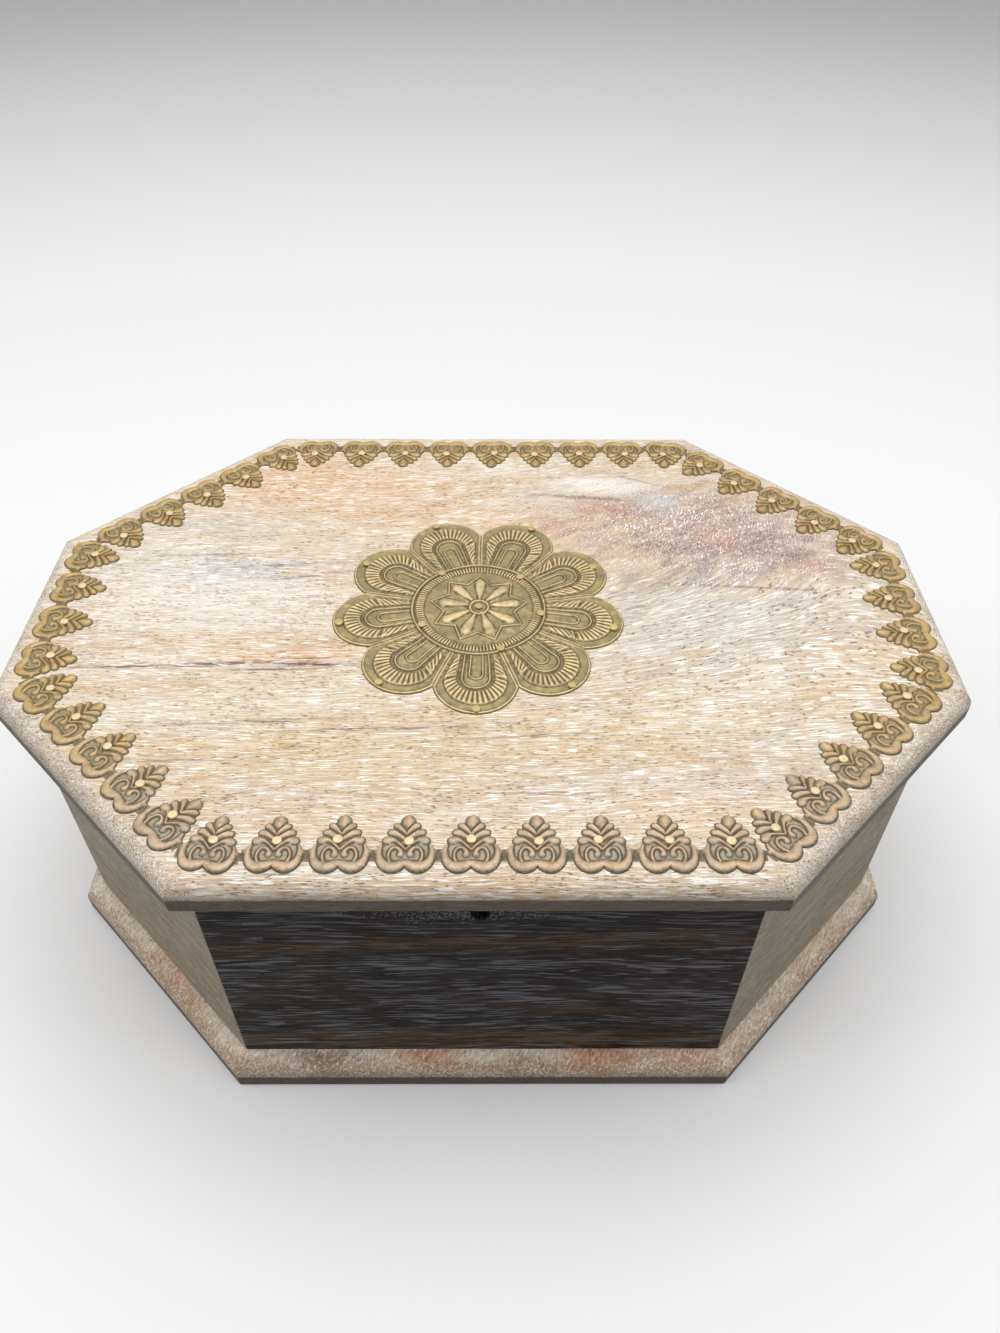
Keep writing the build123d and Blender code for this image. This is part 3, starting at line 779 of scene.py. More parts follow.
class HeartLeaf(Embossing):
    """One motif of the border: two scrolled lobes, a fan of fronds and a bud."""

    pitch = 17.4
    middle = (0.0, 3.0)
    lobe = (3.4, -0.3)
    lobe_radii = (4.6, 5.3)
    beads = ((5.05, 4.55, 1.5), (4.1, 7.3, 1.2), (2.75, 9.45, 1.08))
    bud = (0.3, 10.9, 2.1)
    bud_corner = 1.42
    bud_slope = 0.74
    shoulder_slope = 0.85
    link_half = 1.8
    link_rise = 0.06
    link_start = 7.0
    search = (0.5, 16.0)
    least_gap = 0.12
    shoulder = ((6.4, 3.1), (5.15, 6.0), (3.75, 8.45), (2.15, 10.3), (0.4, 12.2))
    rim = (
        (6.45, 3.0, 0.4), (6.95, 1.7, 0.65), (7.0, 0.2, 0.85), (6.6, -1.6, 1.05), (5.6, -3.0, 1.35),
        (4.0, -3.75, 1.6), (2.2, -3.5, 1.55), (0.9, -2.95, 1.3), (0.0, -2.75, 1.1),
    )
    volute = (
        (4.0, -2.1, 0.5), (4.5, -0.8, 0.42), (4.4, 0.7, 0.4), (3.8, 1.95, 0.42), (2.85, 2.35, 0.45),
        (1.85, 1.95, 0.52), (1.25, 1.15, 0.66), (1.2, 0.35, 0.88), (1.35, 0.15, 0.88),
    )
    lower_lobe = (
        (0.1, 1.7, 0.3), (1.2, 3.0, 0.34), (2.5, 4.2, 0.36), (3.7, 4.85, 0.8), (4.9, 4.65, 1.25),
        (5.1, 4.6, 1.25),
    )
    middle_lobe = ((0.2, 4.6, 0.34), (1.2, 5.5, 0.50), (2.3, 6.35, 0.70), (3.3, 6.95, 0.92), (4.05, 7.2, 1.0))
    middle_crest = ((0.5, 5.3, 0.2), (1.9, 6.6, 0.24), (3.4, 7.55, 0.26))
    upper_lobe = ((0.15, 6.6, 0.3), (0.95, 7.6, 0.48), (1.8, 8.6, 0.70), (2.6, 9.3, 0.86), (2.75, 9.4, 0.86))
    upper_crest = ((0.3, 7.2, 0.2), (1.2, 8.4, 0.24), (2.3, 9.65, 0.24))
    tip = ((0.25, 8.5, 0.25), (0.3, 9.6, 1.05), (0.32, 10.7, 1.8), (0.4, 11.6, 1.35), (0.45, 12.5, 0.45))

    def __init__(self) -> None:
        """Lay the ridges out on both sides."""
        sided = [
            Ridge(self.rim, 0.72, 0.45), Ridge(self.volute, 0.64), Ridge(self.lower_lobe, 0.62, 0.5),
            Ridge(self.middle_lobe, 0.62, 0.5), Ridge(self.middle_crest, 0.76),
            Ridge(self.upper_lobe, 0.66, 0.5), Ridge(self.upper_crest, 0.80),
        ]
        self.ridges = [*sided, *(ridge.mirrored() for ridge in sided), Ridge(self.tip, 0.86, 0.9)]

    def inside(self, spots: np.ndarray) -> np.ndarray:
        """Give the depth inside the lobes, the fan and the bud."""
        x, y = np.abs(spots[:, 0]), spots[:, 1]
        wide, tall = self.lobe_radii
        depth = (1 - np.hypot((x - self.lobe[0]) / wide, (y - self.lobe[1]) / tall)) * wide
        for bead_x, bead_y, radius in self.beads:
            depth = np.maximum(depth, radius - np.hypot(x - bead_x, y - bead_y))
        reaches, rises = zip(*self.shoulder)
        depth = np.maximum(depth, (np.interp(y, rises, reaches, left=-9, right=-9) - x) * self.shoulder_slope)
        bud_x, bud_y, radius = self.bud
        x = spots[:, 0] - bud_x
        diamond = self.bud_slope * (self.bud_corner * radius - np.abs(x) - np.abs(y - bud_y))
        return np.maximum(depth, np.minimum(diamond, radius - np.hypot(x, y - bud_y)))

    def relief(self, spots: np.ndarray) -> np.ndarray:
        """Take the highest ridge at each spot."""
        return np.max([ridge.rise(spots) for ridge in self.ridges], axis=0)

    def lines(self) -> list[np.ndarray]:
        """Follow every ridge."""
        return [line for ridge in self.ridges for line in ridge.lines(self.line_step)]

    def linked(self, spots: np.ndarray) -> np.ndarray:
        """Say which spots lie in the bands that link the motifs."""
        x, y = np.abs(spots).T
        return (y < self.link_half + 0.01) & (self.inside(spots) < 0.02) & (x > self.link_start)

    def worn(self, spots: np.ndarray) -> np.ndarray:
        """Keep the links as bright as the flat sheet."""
        return np.where(self.linked(spots), 0.0, 1.0)

    def height(self, spots: np.ndarray) -> np.ndarray:
        """Keep the links between the motifs low and flat."""
        return np.where(self.linked(spots), self.edge + self.link_rise, super().height(spots))

    def loop(self) -> tuple[np.ndarray, int]:
        """March round the motif from its middle, and square off the two links."""
        middle = np.array(self.middle)
        reach = np.arange(self.search[1], self.search[0], -self.march)
        half = self.pitch / 2 + 0.01
        points = [np.array((side * half, rise * self.link_half)) for side in (-1, 1) for rise in (-1, 1)]
        for angle in np.arange(0, 2 * pi, radians(1.4)):
            ray = middle + reach[:, None] * np.array((cos(angle), sin(angle)))
            link = (np.abs(ray[:, 1]) < self.link_half) & (np.abs(ray[:, 0]) < half)
            points.append(ray[np.argmax((self.inside(ray) > 0) | link)])
        points.sort(key=lambda spot: atan2(spot[1] - middle[1], spot[0] - middle[0]))
        kept = [points[0]]
        for point in points[1:]:
            if hypot(*(point - kept[-1])) > self.least_gap:
                kept.append(point)
        return np.array(kept), len(kept)


class Petal(Embossing):
    """One ninth of the medallion: a petal with its share of the ring, the star and the floret.

    Its basins are two U lines, each given by its centre, radius, half width and height. Round
    them runs a raised band, from an inner to an outer radius, which carries the strokes. The
    ring and the boss are round lines, given by radius, half width and height, the dome by its
    radius and height, and the drops of the floret by half widths at their reaches.
    """

    step = 0.70
    line_step = 0.42
    ridge_step = 0.36
    cap_reach = 35.0
    cap_radius = 13.6
    web_radius = 38.5
    search = (30.0, 50.0)
    rim_points = 121
    basins = ((33.3, 4.4, 0.28, 0.50), (31.6, 2.1, 0.26, 0.46))
    basin_taper = 0.015
    band = (6.0, 9.9)
    band_side = 2.0
    band_slope = 0.8
    band_height = 0.34
    rim_depth = 0.5
    rim_half = 0.42
    rim_height = 0.42
    stroke_reach = 10.1
    fan = 8
    fan_turn = 10.8
    side_strokes = 7
    side_start = 0.75
    side_pitch = 1.9
    side_lean = 0.9
    side_easing = 4.0
    side_margin = 1.9
    side_least = 0.8
    side_clear = 0.9
    fan_halves = (0.44, 0.58, 0.70)
    fan_height = 0.72
    side_halves = (0.48, 0.66)
    side_height = 0.70
    fullness = 0.6
    ring = (22.2, 0.40, 0.52)
    ring_clear = 0.6
    ring_fade = (0.3, 0.5)
    boss = (3.2, 0.5, 0.46)
    line_fullness = 0.8
    dome = (18.0, 0.20)
    teeth = (18.3, 21.1)
    teeth_slope = 0.5
    teeth_foot = 0.05
    teeth_height = 0.55
    teeth_fullness = 0.8
    teeth_count = 13
    star_notch = 12.0
    star_tip = 16.4
    star_half = 0.3
    star_height = 0.44
    drop_height = 0.80
    drop = (
        (4.1, 0.45), (5.2, 0.7), (6.8, 1.15), (8.5, 1.6), (10.2, 1.95), (11.6, 1.9), (12.5, 1.35),
        (13.1, 0.5),
    )

    def __init__(self) -> None:
        """Work out the wedge and lay the strokes, the star and the floret."""
        self.half = pi / PETALS
        self.side = np.array((cos(self.half), sin(self.half)))
        self.strokes = self.fanned() + self.slanted()
        self.floret = []
        sides = (self.side * (1, -1), self.side)
        for x, y in sides:
            spots = ((self.star_notch, 0), (self.star_tip * x, self.star_tip * y))
            self.floret.append(Ridge([(*spot, self.star_half) for spot in spots], self.star_height))
        for x, y in sides:
            rows = [(reach * x, reach * y, half) for reach, half in self.drop]
            self.floret.append(Ridge(rows, self.drop_height, self.fullness))

    def fanned(self) -> list[Ridge]:
        """Lay the strokes that fan out round the petal's end."""
        found = []
        centre, inner = self.basins[0][0], self.band[0]
        for number in range(-self.fan, self.fan + 1):
            turn = radians(number * self.fan_turn)
            run, rise = cos(turn), sin(turn)
            foot = (centre + inner * run, inner * rise)
            head = (self.cap_reach + self.stroke_reach * run, self.stroke_reach * rise)
            middle = tuple((a + b) / 2 for a, b in zip(foot, head))
            rows = [(*spot, half) for spot, half in zip((foot, middle, head), self.fan_halves)]
            found.append(Ridge(rows, self.fan_height, self.fullness))
        return found

    def slanted(self) -> list[Ridge]:
        """Lay the strokes that lean forward along the petal's sides, like the strands of a rope."""
        found = []
        centre, inner = self.basins[0][0], self.band[0]
        for number in range(self.side_strokes):
            back = self.side_pitch * (number + self.side_start)
            x = centre - back
            foot = inner * (1 - self.basin_taper * back)
            lean = self.side_lean * min(1.0, back / self.side_easing)
            # The head ends near the wedge's side, which slants too, so a few rounds close in on it.
            head = foot
            for _ in range(4):
                head = ((x + lean * (head - foot)) * self.side[1] - self.side_margin) / self.side[0]
            if head - foot < self.side_least or x < self.ring[0] + self.side_clear:
                continue
            near, far = self.side_halves
            for way in (-1, 1):
                rows = ((x, way * foot, near), (x + lean * (head - foot), way * head, far))
                found.append(Ridge(rows, self.side_height, self.fullness))
        return found

    def depths(self, spots: np.ndarray) -> tuple[np.ndarray, np.ndarray]:
        """Give how far each spot lies inside the round end and inside the wedge's side."""
        x, y = spots[:, 0], np.abs(spots[:, 1])
        cap = self.cap_radius - np.hypot(np.maximum(x - self.cap_reach, 0), y)
        return cap, x * self.side[1] - y * self.side[0]

    def inside(self, spots: np.ndarray) -> np.ndarray:
        """Give the depth inside the petal's round end, or inside the web between the petals."""
        x, y = spots[:, 0], np.abs(spots[:, 1])
        cap = self.cap_radius - np.hypot(x - self.cap_reach, y)
        return np.where(x < self.cap_reach - 1, np.maximum(cap, self.web_radius - np.hypot(x, y)), cap)

    def clear(self, spots: np.ndarray) -> np.ndarray:
        """Say which spots lie well inside the wedge and the edge."""
        return (self.inside(spots) > self.margin) & (self.depths(spots)[1] > self.margin)

    def line(self, value: np.ndarray, at: float, half: float, height: float) -> np.ndarray:
        """Give a ridge that follows where a value is at a level."""
        return height * domed((value - at) / half, self.line_fullness)

    def from_basin(self, spots: np.ndarray, centre: float) -> np.ndarray:
        """Give how far each spot lies from the middle of a basin, which narrows behind its centre."""
        x, y = spots[:, 0], np.abs(spots[:, 1])
        return np.hypot(np.maximum(x - centre, 0), y / (1 - self.basin_taper * np.maximum(centre - x, 0)))

    def on_band(self, spots: np.ndarray) -> np.ndarray:
        """Give the share, 0 to 1, to which each spot lies on the raised band round the basins."""
        cap, side = self.depths(spots)
        past_inner = self.from_basin(spots, self.basins[0][0]) - self.band[0]
        to_outer = self.band[1] - (self.cap_radius - cap)
        return rolled(np.minimum.reduce([past_inner, to_outer, side - self.band_side]) / self.band_slope)

    def relief(self, spots: np.ndarray) -> np.ndarray:
        """Give the rims, the band with its strokes, the ring with its teeth, the floret and the boss."""
        radius = np.hypot(*spots.T)
        petal = self.line(np.minimum(*self.depths(spots)), self.rim_depth, self.rim_half, self.rim_height)
        for centre, reach, half, height in self.basins:
            petal = np.maximum(petal, self.line(self.from_basin(spots, centre), reach, half, height))
        band = self.on_band(spots)
        petal = np.maximum(petal, band * self.band_height)
        for ridge in self.strokes:
            petal = np.maximum(petal, ridge.rise(spots) * band)
        past, run = self.ring_fade
        petal *= np.clip((radius - self.ring[0] - past) / run, 0, 1)
        teeth = 0.5 + 0.5 * np.cos(np.arctan2(spots[:, 1], spots[:, 0]) * PETALS * self.teeth_count)
        low, high = self.teeth
        into, out_of = ((span / self.teeth_slope).clip(0, 1) for span in (radius - low, high - radius))
        raised = [petal, into * out_of * (self.teeth_foot + self.teeth_height * teeth**self.teeth_fullness)]
        raised += [self.line(radius, *ring) for ring in (self.ring, self.boss)]
        raised += [ridge.rise(spots) for ridge in self.floret]
        return np.maximum.reduce(raised) + self.dome[1] * domed(radius / self.dome[0])

    def lines(self) -> list[np.ndarray]:
        """Follow the rims, every stroke, the ring and its teeth, the star and the floret."""
        found = []
        turns = np.linspace(0, pi / 2, 46)
        for way in (-1, 1):
            for shift in (-1.6, -1.0, 0.0, 1.0):
                inset = self.rim_depth + shift * self.rim_half * 0.9
                end = arc(self.cap_radius - inset, turns, (self.cap_reach, 0))
                xs = np.arange(self.cap_reach + 6, self.ring[0], -self.line_step)
                straight = np.column_stack([xs, (xs * self.side[1] - inset) / self.side[0]])
                for line, kind in ((end, 1), (straight, 0)):
                    kept = self.depths(line)[kind] > inset - 1e-6
                    found.append(self.outer(line[kept]) * (1, way))
            for centre, reach, half, _ in self.basins:
                marks = turns[::2] if reach > 3 else turns[::4]
                backs = np.arange(self.line_step, centre - self.ring[0], self.line_step)
                for shift in (-1.5 * half, -half, 0.0, half, 1.5 * half):
                    sides = (reach + shift) * (1 - self.basin_taper * backs)
                    straight = np.column_stack([centre - backs, sides])
                    line = np.vstack([arc(reach + shift, marks, (centre, 0)), straight])
                    found.append(self.outer(line) * (1, way))
        for shift in (-0.1, 0.4, 1.0):
            for reach, centre in (
                (self.band[0] + shift * self.band_slope, self.basins[0][0]),
                (self.band[1] - shift * self.band_slope, self.cap_reach),
            ):
                line = self.outer(arc(reach, turns, (centre, 0)))
                found += [line, line * (1, -1)]
        for radius, half, _ in (self.ring, self.boss):
            turns = np.linspace(-self.half, self.half, ceil(2 * self.half * radius / self.line_step) + 1)
            found += [arc(radius + shift * half, turns) for shift in (-1.4, -1.0, 0.0, 1.0, 1.4)]
        low, high = self.teeth
        for turn in np.linspace(-self.half, self.half, 6 * self.teeth_count + 1)[1:-1]:
            radii = (low, low + self.teeth_slope, (low + high) / 2, high - self.teeth_slope, high)
            found.append(np.outer(radii, (cos(turn), sin(turn))))
        ridges = (*self.strokes, *self.floret)
        return found + [line for ridge in ridges for line in ridge.lines(self.ridge_step)]

    def outer(self, line: np.ndarray) -> np.ndarray:
        """Keep the part of a line that lies beyond the ring."""
        return line[np.hypot(*line.T) > self.ring[0] + self.ring_clear]

    def loop(self) -> tuple[np.ndarray, int]:
        """Go round the petal's end, then in along one side of the wedge and out along the other."""
        reach = np.arange(self.search[1], self.search[0], -self.march)
        rim = []
        for angle in np.linspace(-self.half, self.half, self.rim_points):
            ray = reach[:, None] * np.array((cos(angle), sin(angle)))
            rim.append(ray[np.argmax(self.inside(ray) > 0)])
        radii = np.linspace(hypot(*rim[0]), 0, self.rim_points - 1)[1:-1]
        inward = [radius * self.side for radius in radii]
        outward = [radius * self.side * (1, -1) for radius in radii[::-1]]
        return np.array([*rim, *inward, np.zeros(2), *outward]), len(rim) - 1


# ---------------------------------------------------------------- repeated pieces


class Scatter(Tree):
    """A Geometry Nodes tree that sets a template on points, each turned to its own heading."""

    inputs = {
        "Points": "Geometry", "Template": "Object", "Tilt": "Float", "Size Spread": "Float", "Seed": "Int",
        "Weld": "Float", "Finish": "Material",
    }

    def __init__(self, name: str) -> None:
        """Build the tree with its named inputs."""
        super().__init__(bpy.data.node_groups.new(name, "GeometryNodeTree"))
        for label, kind in self.inputs.items():
            self.tree.interface.new_socket(label, in_out="INPUT", socket_type="NodeSocket" + kind)
        self.tree.interface.new_socket("Pieces", in_out="OUTPUT", socket_type="NodeSocketGeometry")
        given = self.node("NodeGroupInput").outputs
        inputs = {"Object": given["Template"], "As Instance": True}
        template = self.add(Wire, "GeometryNodeObjectInfo", {}, inputs, "Geometry")
        named = {"Name": "heading"}
        heading = self.add(Value, "GeometryNodeInputNamedAttribute", {"data_type": "FLOAT"}, named)
        lean, tip = (self.spread(given["Tilt"], given["Seed"], extra) for extra in (0, 7))
        turn = self.add(Space, "ShaderNodeCombineXYZ", {}, {0: lean, 1: tip, 2: heading})
        size = self.spread(given["Size Spread"], given["Seed"], 3) + 1.0
        inputs = {"Points": given["Points"], "Instance": template, "Rotation": turn, "Scale": size}
        flow = self.add(Wire, "GeometryNodeInstanceOnPoints", {}, inputs)
        for kind, extra in (
            ("RealizeInstances", {}),
            ("MergeByDistance", {"Distance": given["Weld"]}),
            ("SetMaterial", {"Material": given["Finish"]}),
        ):
            flow = self.add(Wire, "GeometryNode" + kind, {}, {"Geometry": flow, **extra})
        self.node("NodeGroupOutput", inputs={"Pieces": flow})

    def spread(self, most: NodeSocket, seed: NodeSocket, extra: int) -> Value:
        """Give a random number from minus most to most for each point."""
        inputs = {"Seed": Value(self, seed) + extra, 2: Value(self, most) * -1.0, 3: most}
        return self.add(Value, "FunctionNodeRandomValue", {"data_type": "FLOAT"}, inputs, 1)

    def place(self, name: str, spots: list[tuple[float, ...]], template: Mesh, finish: Material,
              tilt: float = 0.0, spread: float = 0.0, seed: int = 1, weld: float = 0.0) -> Object:
        """Set a template on spots and turn the result into a plain mesh.

        Args:
            name: The new piece's name.
            spots: Each spot's x, y and z in millimetres and its heading in degrees.
            template: The mesh to repeat.
            finish: The material of the result.
            tilt: The most that a copy leans, in degrees.
            spread: The most that a copy's size differs, as a share.
            seed: The fixed seed of what is random.
            weld: How near, in millimetres, points are joined.

        Returns:
            The plain piece.
        """
        mesh = meshed(name + "_points", [spot[:3] for spot in spots], [])
        headings = mesh.attributes.new("heading", "FLOAT", "POINT")
        headings.data.foreach_set("value", [radians(spot[3]) for spot in spots])
        master = bpy.data.objects.new(template.name, template)
        holder = placed(name + "_points", mesh)
        modifier = holder.modifiers.new("Scatter", "NODES")
        modifier.node_group = self.tree
        values = {
            "Template": master, "Tilt": radians(tilt), "Size Spread": spread, "Seed": seed,
            "Weld": weld * MM, "Finish": finish,
        }
        for item in self.tree.interface.items_tree:
            if item.in_out == "INPUT" and item.name in values:
                modifier[item.identifier] = values[item.name]
        holder.update_tag()
        graph = bpy.context.evaluated_depsgraph_get()
        plain = bpy.data.meshes.new_from_object(holder.evaluated_get(graph))
        plain.name = name
        for helper in (holder, master):
            bpy.data.objects.remove(helper)
        LOG.info("%s: %d copies, %d faces", name, len(spots), len(plain.polygons))
        return placed(name, plain)


# ---------------------------------------------------------------- sub-assemblies


@dataclass
class Outline:
    """The rectangle with four cut corners that the lid and the plinth share."""

    length: float = 305.0
    width: float = 218.0

    def cut(self, inset: float) -> float:
        """Give how much of each side a corner takes when the outline is drawn in."""
        return CORNER_CUT - inset * (1 - tan(pi / 8))

    def corners(self, inset: float) -> list[Point]:
        """Give the eight corners of the outline drawn in, from the front left round to the right."""
        far_x, far_y = self.length / 2 - inset, self.width / 2 - inset
        near_x, near_y = far_x - self.cut(inset), far_y - self.cut(inset)
        front = [(-near_x, -far_y), (near_x, -far_y), (far_x, -near_y), (far_x, near_y)]
        return front + [(-x, -y) for x, y in front]


@dataclass
class Border:
    """The linked heart and leaf motifs round the lid, with one nail in each."""

    outline: Outline
    inset: float = 11.0
    corner: float = 20.0
    shift: Point = (0.3, -1.0)
    start: float = -2.6
    pitch: float = 17.4
    nail_rise: float = 4.4
    nail_wander: Point = (0.9, 0.36)
    nail_turns: Point = (2.4, 3.7)
    sides: tuple[str, ...] = (
        "front", "front_right", "right", "back_right", "back", "back_left", "left", "front_left",
    )

    def __post_init__(self) -> None:
        """Walk the line once and note every motif's place."""
        cut = self.outline.cut(self.inset)
        front, side = (span - 2 * self.inset - 2 * cut for span in (self.outline.length, self.outline.width))
        self.runs = [front, cut * sqrt(2), side, cut * sqrt(2)] * 2
        self.trim = self.corner * tan(pi / 8)
        self.bend = self.corner * pi / 4
        self.total = sum(self.runs) - 16 * self.trim + 8 * self.bend
        count = round(self.total / self.pitch)
        self.places = [self.place(self.start + self.total / count * number) for number in range(count)]

    def place(self, distance: float) -> Place:
        """Give the x, y and heading of the line at a distance from the middle of the front."""
        left = (distance + self.runs[0] / 2 - self.trim) % self.total
        x, y = self.outline.corners(self.inset)[0]
        x += self.trim
        heading = 0.0
        for run in self.runs:
            step = min(left, run - 2 * self.trim)
            left -= step
            turned = min(left / self.bend, 1.0) * 45
            chord = 2 * self.corner * sin(radians(turned / 2))
            for length, way in ((step, heading), (chord, heading + turned / 2)):
                x += length * cos(radians(way))
                y += length * sin(radians(way))
            heading += turned
            left -= self.bend
            if left <= 0:
                break
        return x + self.shift[0], y + self.shift[1], heading

    def nail_spots(self) -> list[Point]:
        """Give where each nail was driven, a little off the middle of its motif."""
        spots = []
        for number, (x, y, heading) in enumerate(self.places):
            along = self.nail_wander[0] * sin(self.nail_turns[0] * number)
            inward = self.nail_rise + self.nail_wander[1] * cos(self.nail_turns[1] * number)
            run, rise = cos(radians(heading)), sin(radians(heading))
            spots.append((x + along * run - inward * rise, y + along * rise + inward * run))
        return spots

    def build(self, scatter: Scatter, finish: Material) -> None:
        """Make one strip for each side of the lid."""
        template = HeartLeaf().mesh("heart_leaf")
        for number, side in enumerate(self.sides):
            here = [place for place in self.places if round(place[2] / 45) % 8 == number]
            spots = [(x, y, LID_TOP, heading) for x, y, heading in here]
            piece = scatter.place("border_strip_" + side, spots, template, finish, 0.35, 0.012, number)
            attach(piece, "lid")
            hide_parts("border_" + side)


@dataclass
class Medallion:
    """The nine-petalled rosette in the middle of the lid.

    Each nail is given by its reach from the middle and its turn from the first petal: those at
    the petals' ends, then those round the ring.
    """

    middle: Point = (-1.4, 0.2)
    turn: float = -91.0
    weld: float = 0.02
    seed: int = 5
    drift: float = 0.55
    drift_size: float = 17.0
    swell: float = 0.22
    swell_size: float = 6.0
    most_height: float = 1.32
    nails: tuple[Point, ...] = (
        (46.8, 0.7), (46.9, 39.5), (45.5, 77.8), (44.8, 119.0), (46.8, 157.4), (46.9, 200.8), (45.4, 241.1),
        (46.5, 281.0), (46.9, 320.3), (21.6, 20.6), (21.0, 81.6), (20.9, 138.4), (21.6, 217.7), (20.6, 296.8),
    )

    def nail_spots(self) -> list[Point]:
        """Give the nails at the petals' ends, round the ring and in the middle."""
        x, y = self.middle
        turned = [(reach, radians(self.turn + turn)) for reach, turn in self.nails]
        return [(x + reach * cos(turn), y + reach * sin(turn)) for reach, turn in turned] + [(x, y)]

    def build(self, scatter: Scatter, finish: Material) -> None:
        """Set the petals round the middle, weld them, and make them as uneven as handwork."""
        spots = [(*self.middle, LID_TOP, self.turn + 360 / PETALS * number) for number in range(PETALS)]
        piece = scatter.place("medallion_rosette", spots, Petal().mesh("petal_ninth"), finish, weld=self.weld)
        noise.seed_set(self.seed)
        for vertex in piece.data.vertices:
            place = Vector(vertex.co) / MM
            drift = noise.noise_vector(place / self.drift_size) * self.drift
            swell = 1 + self.swell * noise.noise(place / self.swell_size + Vector((3, 9, 0)))
            height = min((place.z - LID_TOP) * swell, self.most_height)
            vertex.co = Vector((place.x + drift.x, place.y + drift.y, LID_TOP + height)) * MM
        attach(piece, "lid")
        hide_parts("medallion")


@dataclass
class Nails:
    """Round-headed brass nails."""

    seat: float = LID_TOP + 0.8
    head: float = 1.35
    crown: float = 0.50
    bevel: float = 0.28
    shank: Point = (0.55, -0.75)
    lip: float = -0.30
    most_height: float = 0.7

    def build(self, scatter: Scatter, name: str, spots: list[Point], node: str, finish: Metal,
              seed: int) -> None:
        """Drive a nail at each spot.

        Args:
            scatter: The tree that repeats the head.
            name: The new piece's name.
            spots: Where the nails go.
            node: The CAD node that it replaces.
            finish: The finish.
            seed: The fixed seed of their lean.
        """
        flat, side = self.head - self.bevel, self.crown - self.bevel
        turns = [radians(turn) for turn in range(0, 91, 18)]
        rim = [(flat + self.bevel * cos(turn), side + self.bevel * sin(turn)) for turn in turns]
        top = [(0.45 * self.head, self.crown + 0.05), (0.0, self.crown + 0.07)]
        template = revolved("nail_head", [self.shank, (self.head, self.lip), *rim, *top], 20)
        places = [(x, y, self.seat, 0.0) for x, y in spots]
        piece = scatter.place(name, places, template, finish.build(), 4.0, 0.03, seed)
        for vertex in piece.data.vertices:
            vertex.co.z = min(vertex.co.z, (self.seat + self.most_height) * MM)
        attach(piece, "lid")
        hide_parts(node)


@dataclass
class Lining:
    """The felt laid on the floor of the box."""

    outline: Outline
    inset: float = 17.6
    floor: float = 12.0
    thickness: float = 1.4
    gap: float = 0.02
    wave: float = 0.1
    wave_size: float = 14.0
    step: float = 3.0
    clear: float = 2.0

    def build(self, finish: Material) -> None:
        """Cut the felt to the inside of the walls and let it lie a little uneven."""
        corners = np.array(self.outline.corners(self.inset))
        rim: list[np.ndarray] = []
        for first, second in zip(corners, np.roll(corners, -1, 0)):
            count = ceil(hypot(*(second - first)) / self.step)
            rim += [first + (second - first) * n / count for n in range(count)]
        low, high = corners.min(0), corners.max(0)
        inner = [
            (x, y)
            for x in np.arange(low[0] + self.clear, high[0] - self.clear / 2, self.step)
            for y in np.arange(low[1] + self.clear, high[1] - self.clear / 2, self.step)
            if abs(x) + abs(y) < abs(corners[0]).sum() - self.clear
        ]
        flat, faces, ring = triangulated([*rim, *inner], [], len(rim), 1e-7)
        waves = [self.wave * noise.noise(Vector((x, y, 5)) / self.wave_size) for x, y in flat]
        top = [(x, y, self.floor + self.thickness + wave) for (x, y), wave in zip(flat, waves)]
        foot = [(x, y, self.floor + self.gap) for x, y in flat]
        base = len(flat)
        faces += [tuple(base + number for number in reversed(face)) for face in faces]
        faces += [(here, base + here, base + there, there) for here, there in zip(ring, ring[1:] + ring[:1])]
        mesh = meshed("felt_lining", [*top, *foot], faces)
        mesh.set_sharp_from_angle(angle=radians(50))
        mesh.materials.append(finish)
        piece = placed("felt_lining", mesh)
        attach(piece, "box")
        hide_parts("floor_lining")
        length, width = (high - low) * MM
        area = length * width - 2 * self.outline.cut(self.inset) ** 2 * MM * MM
        LOG.info("felt lining: %d faces", len(faces))


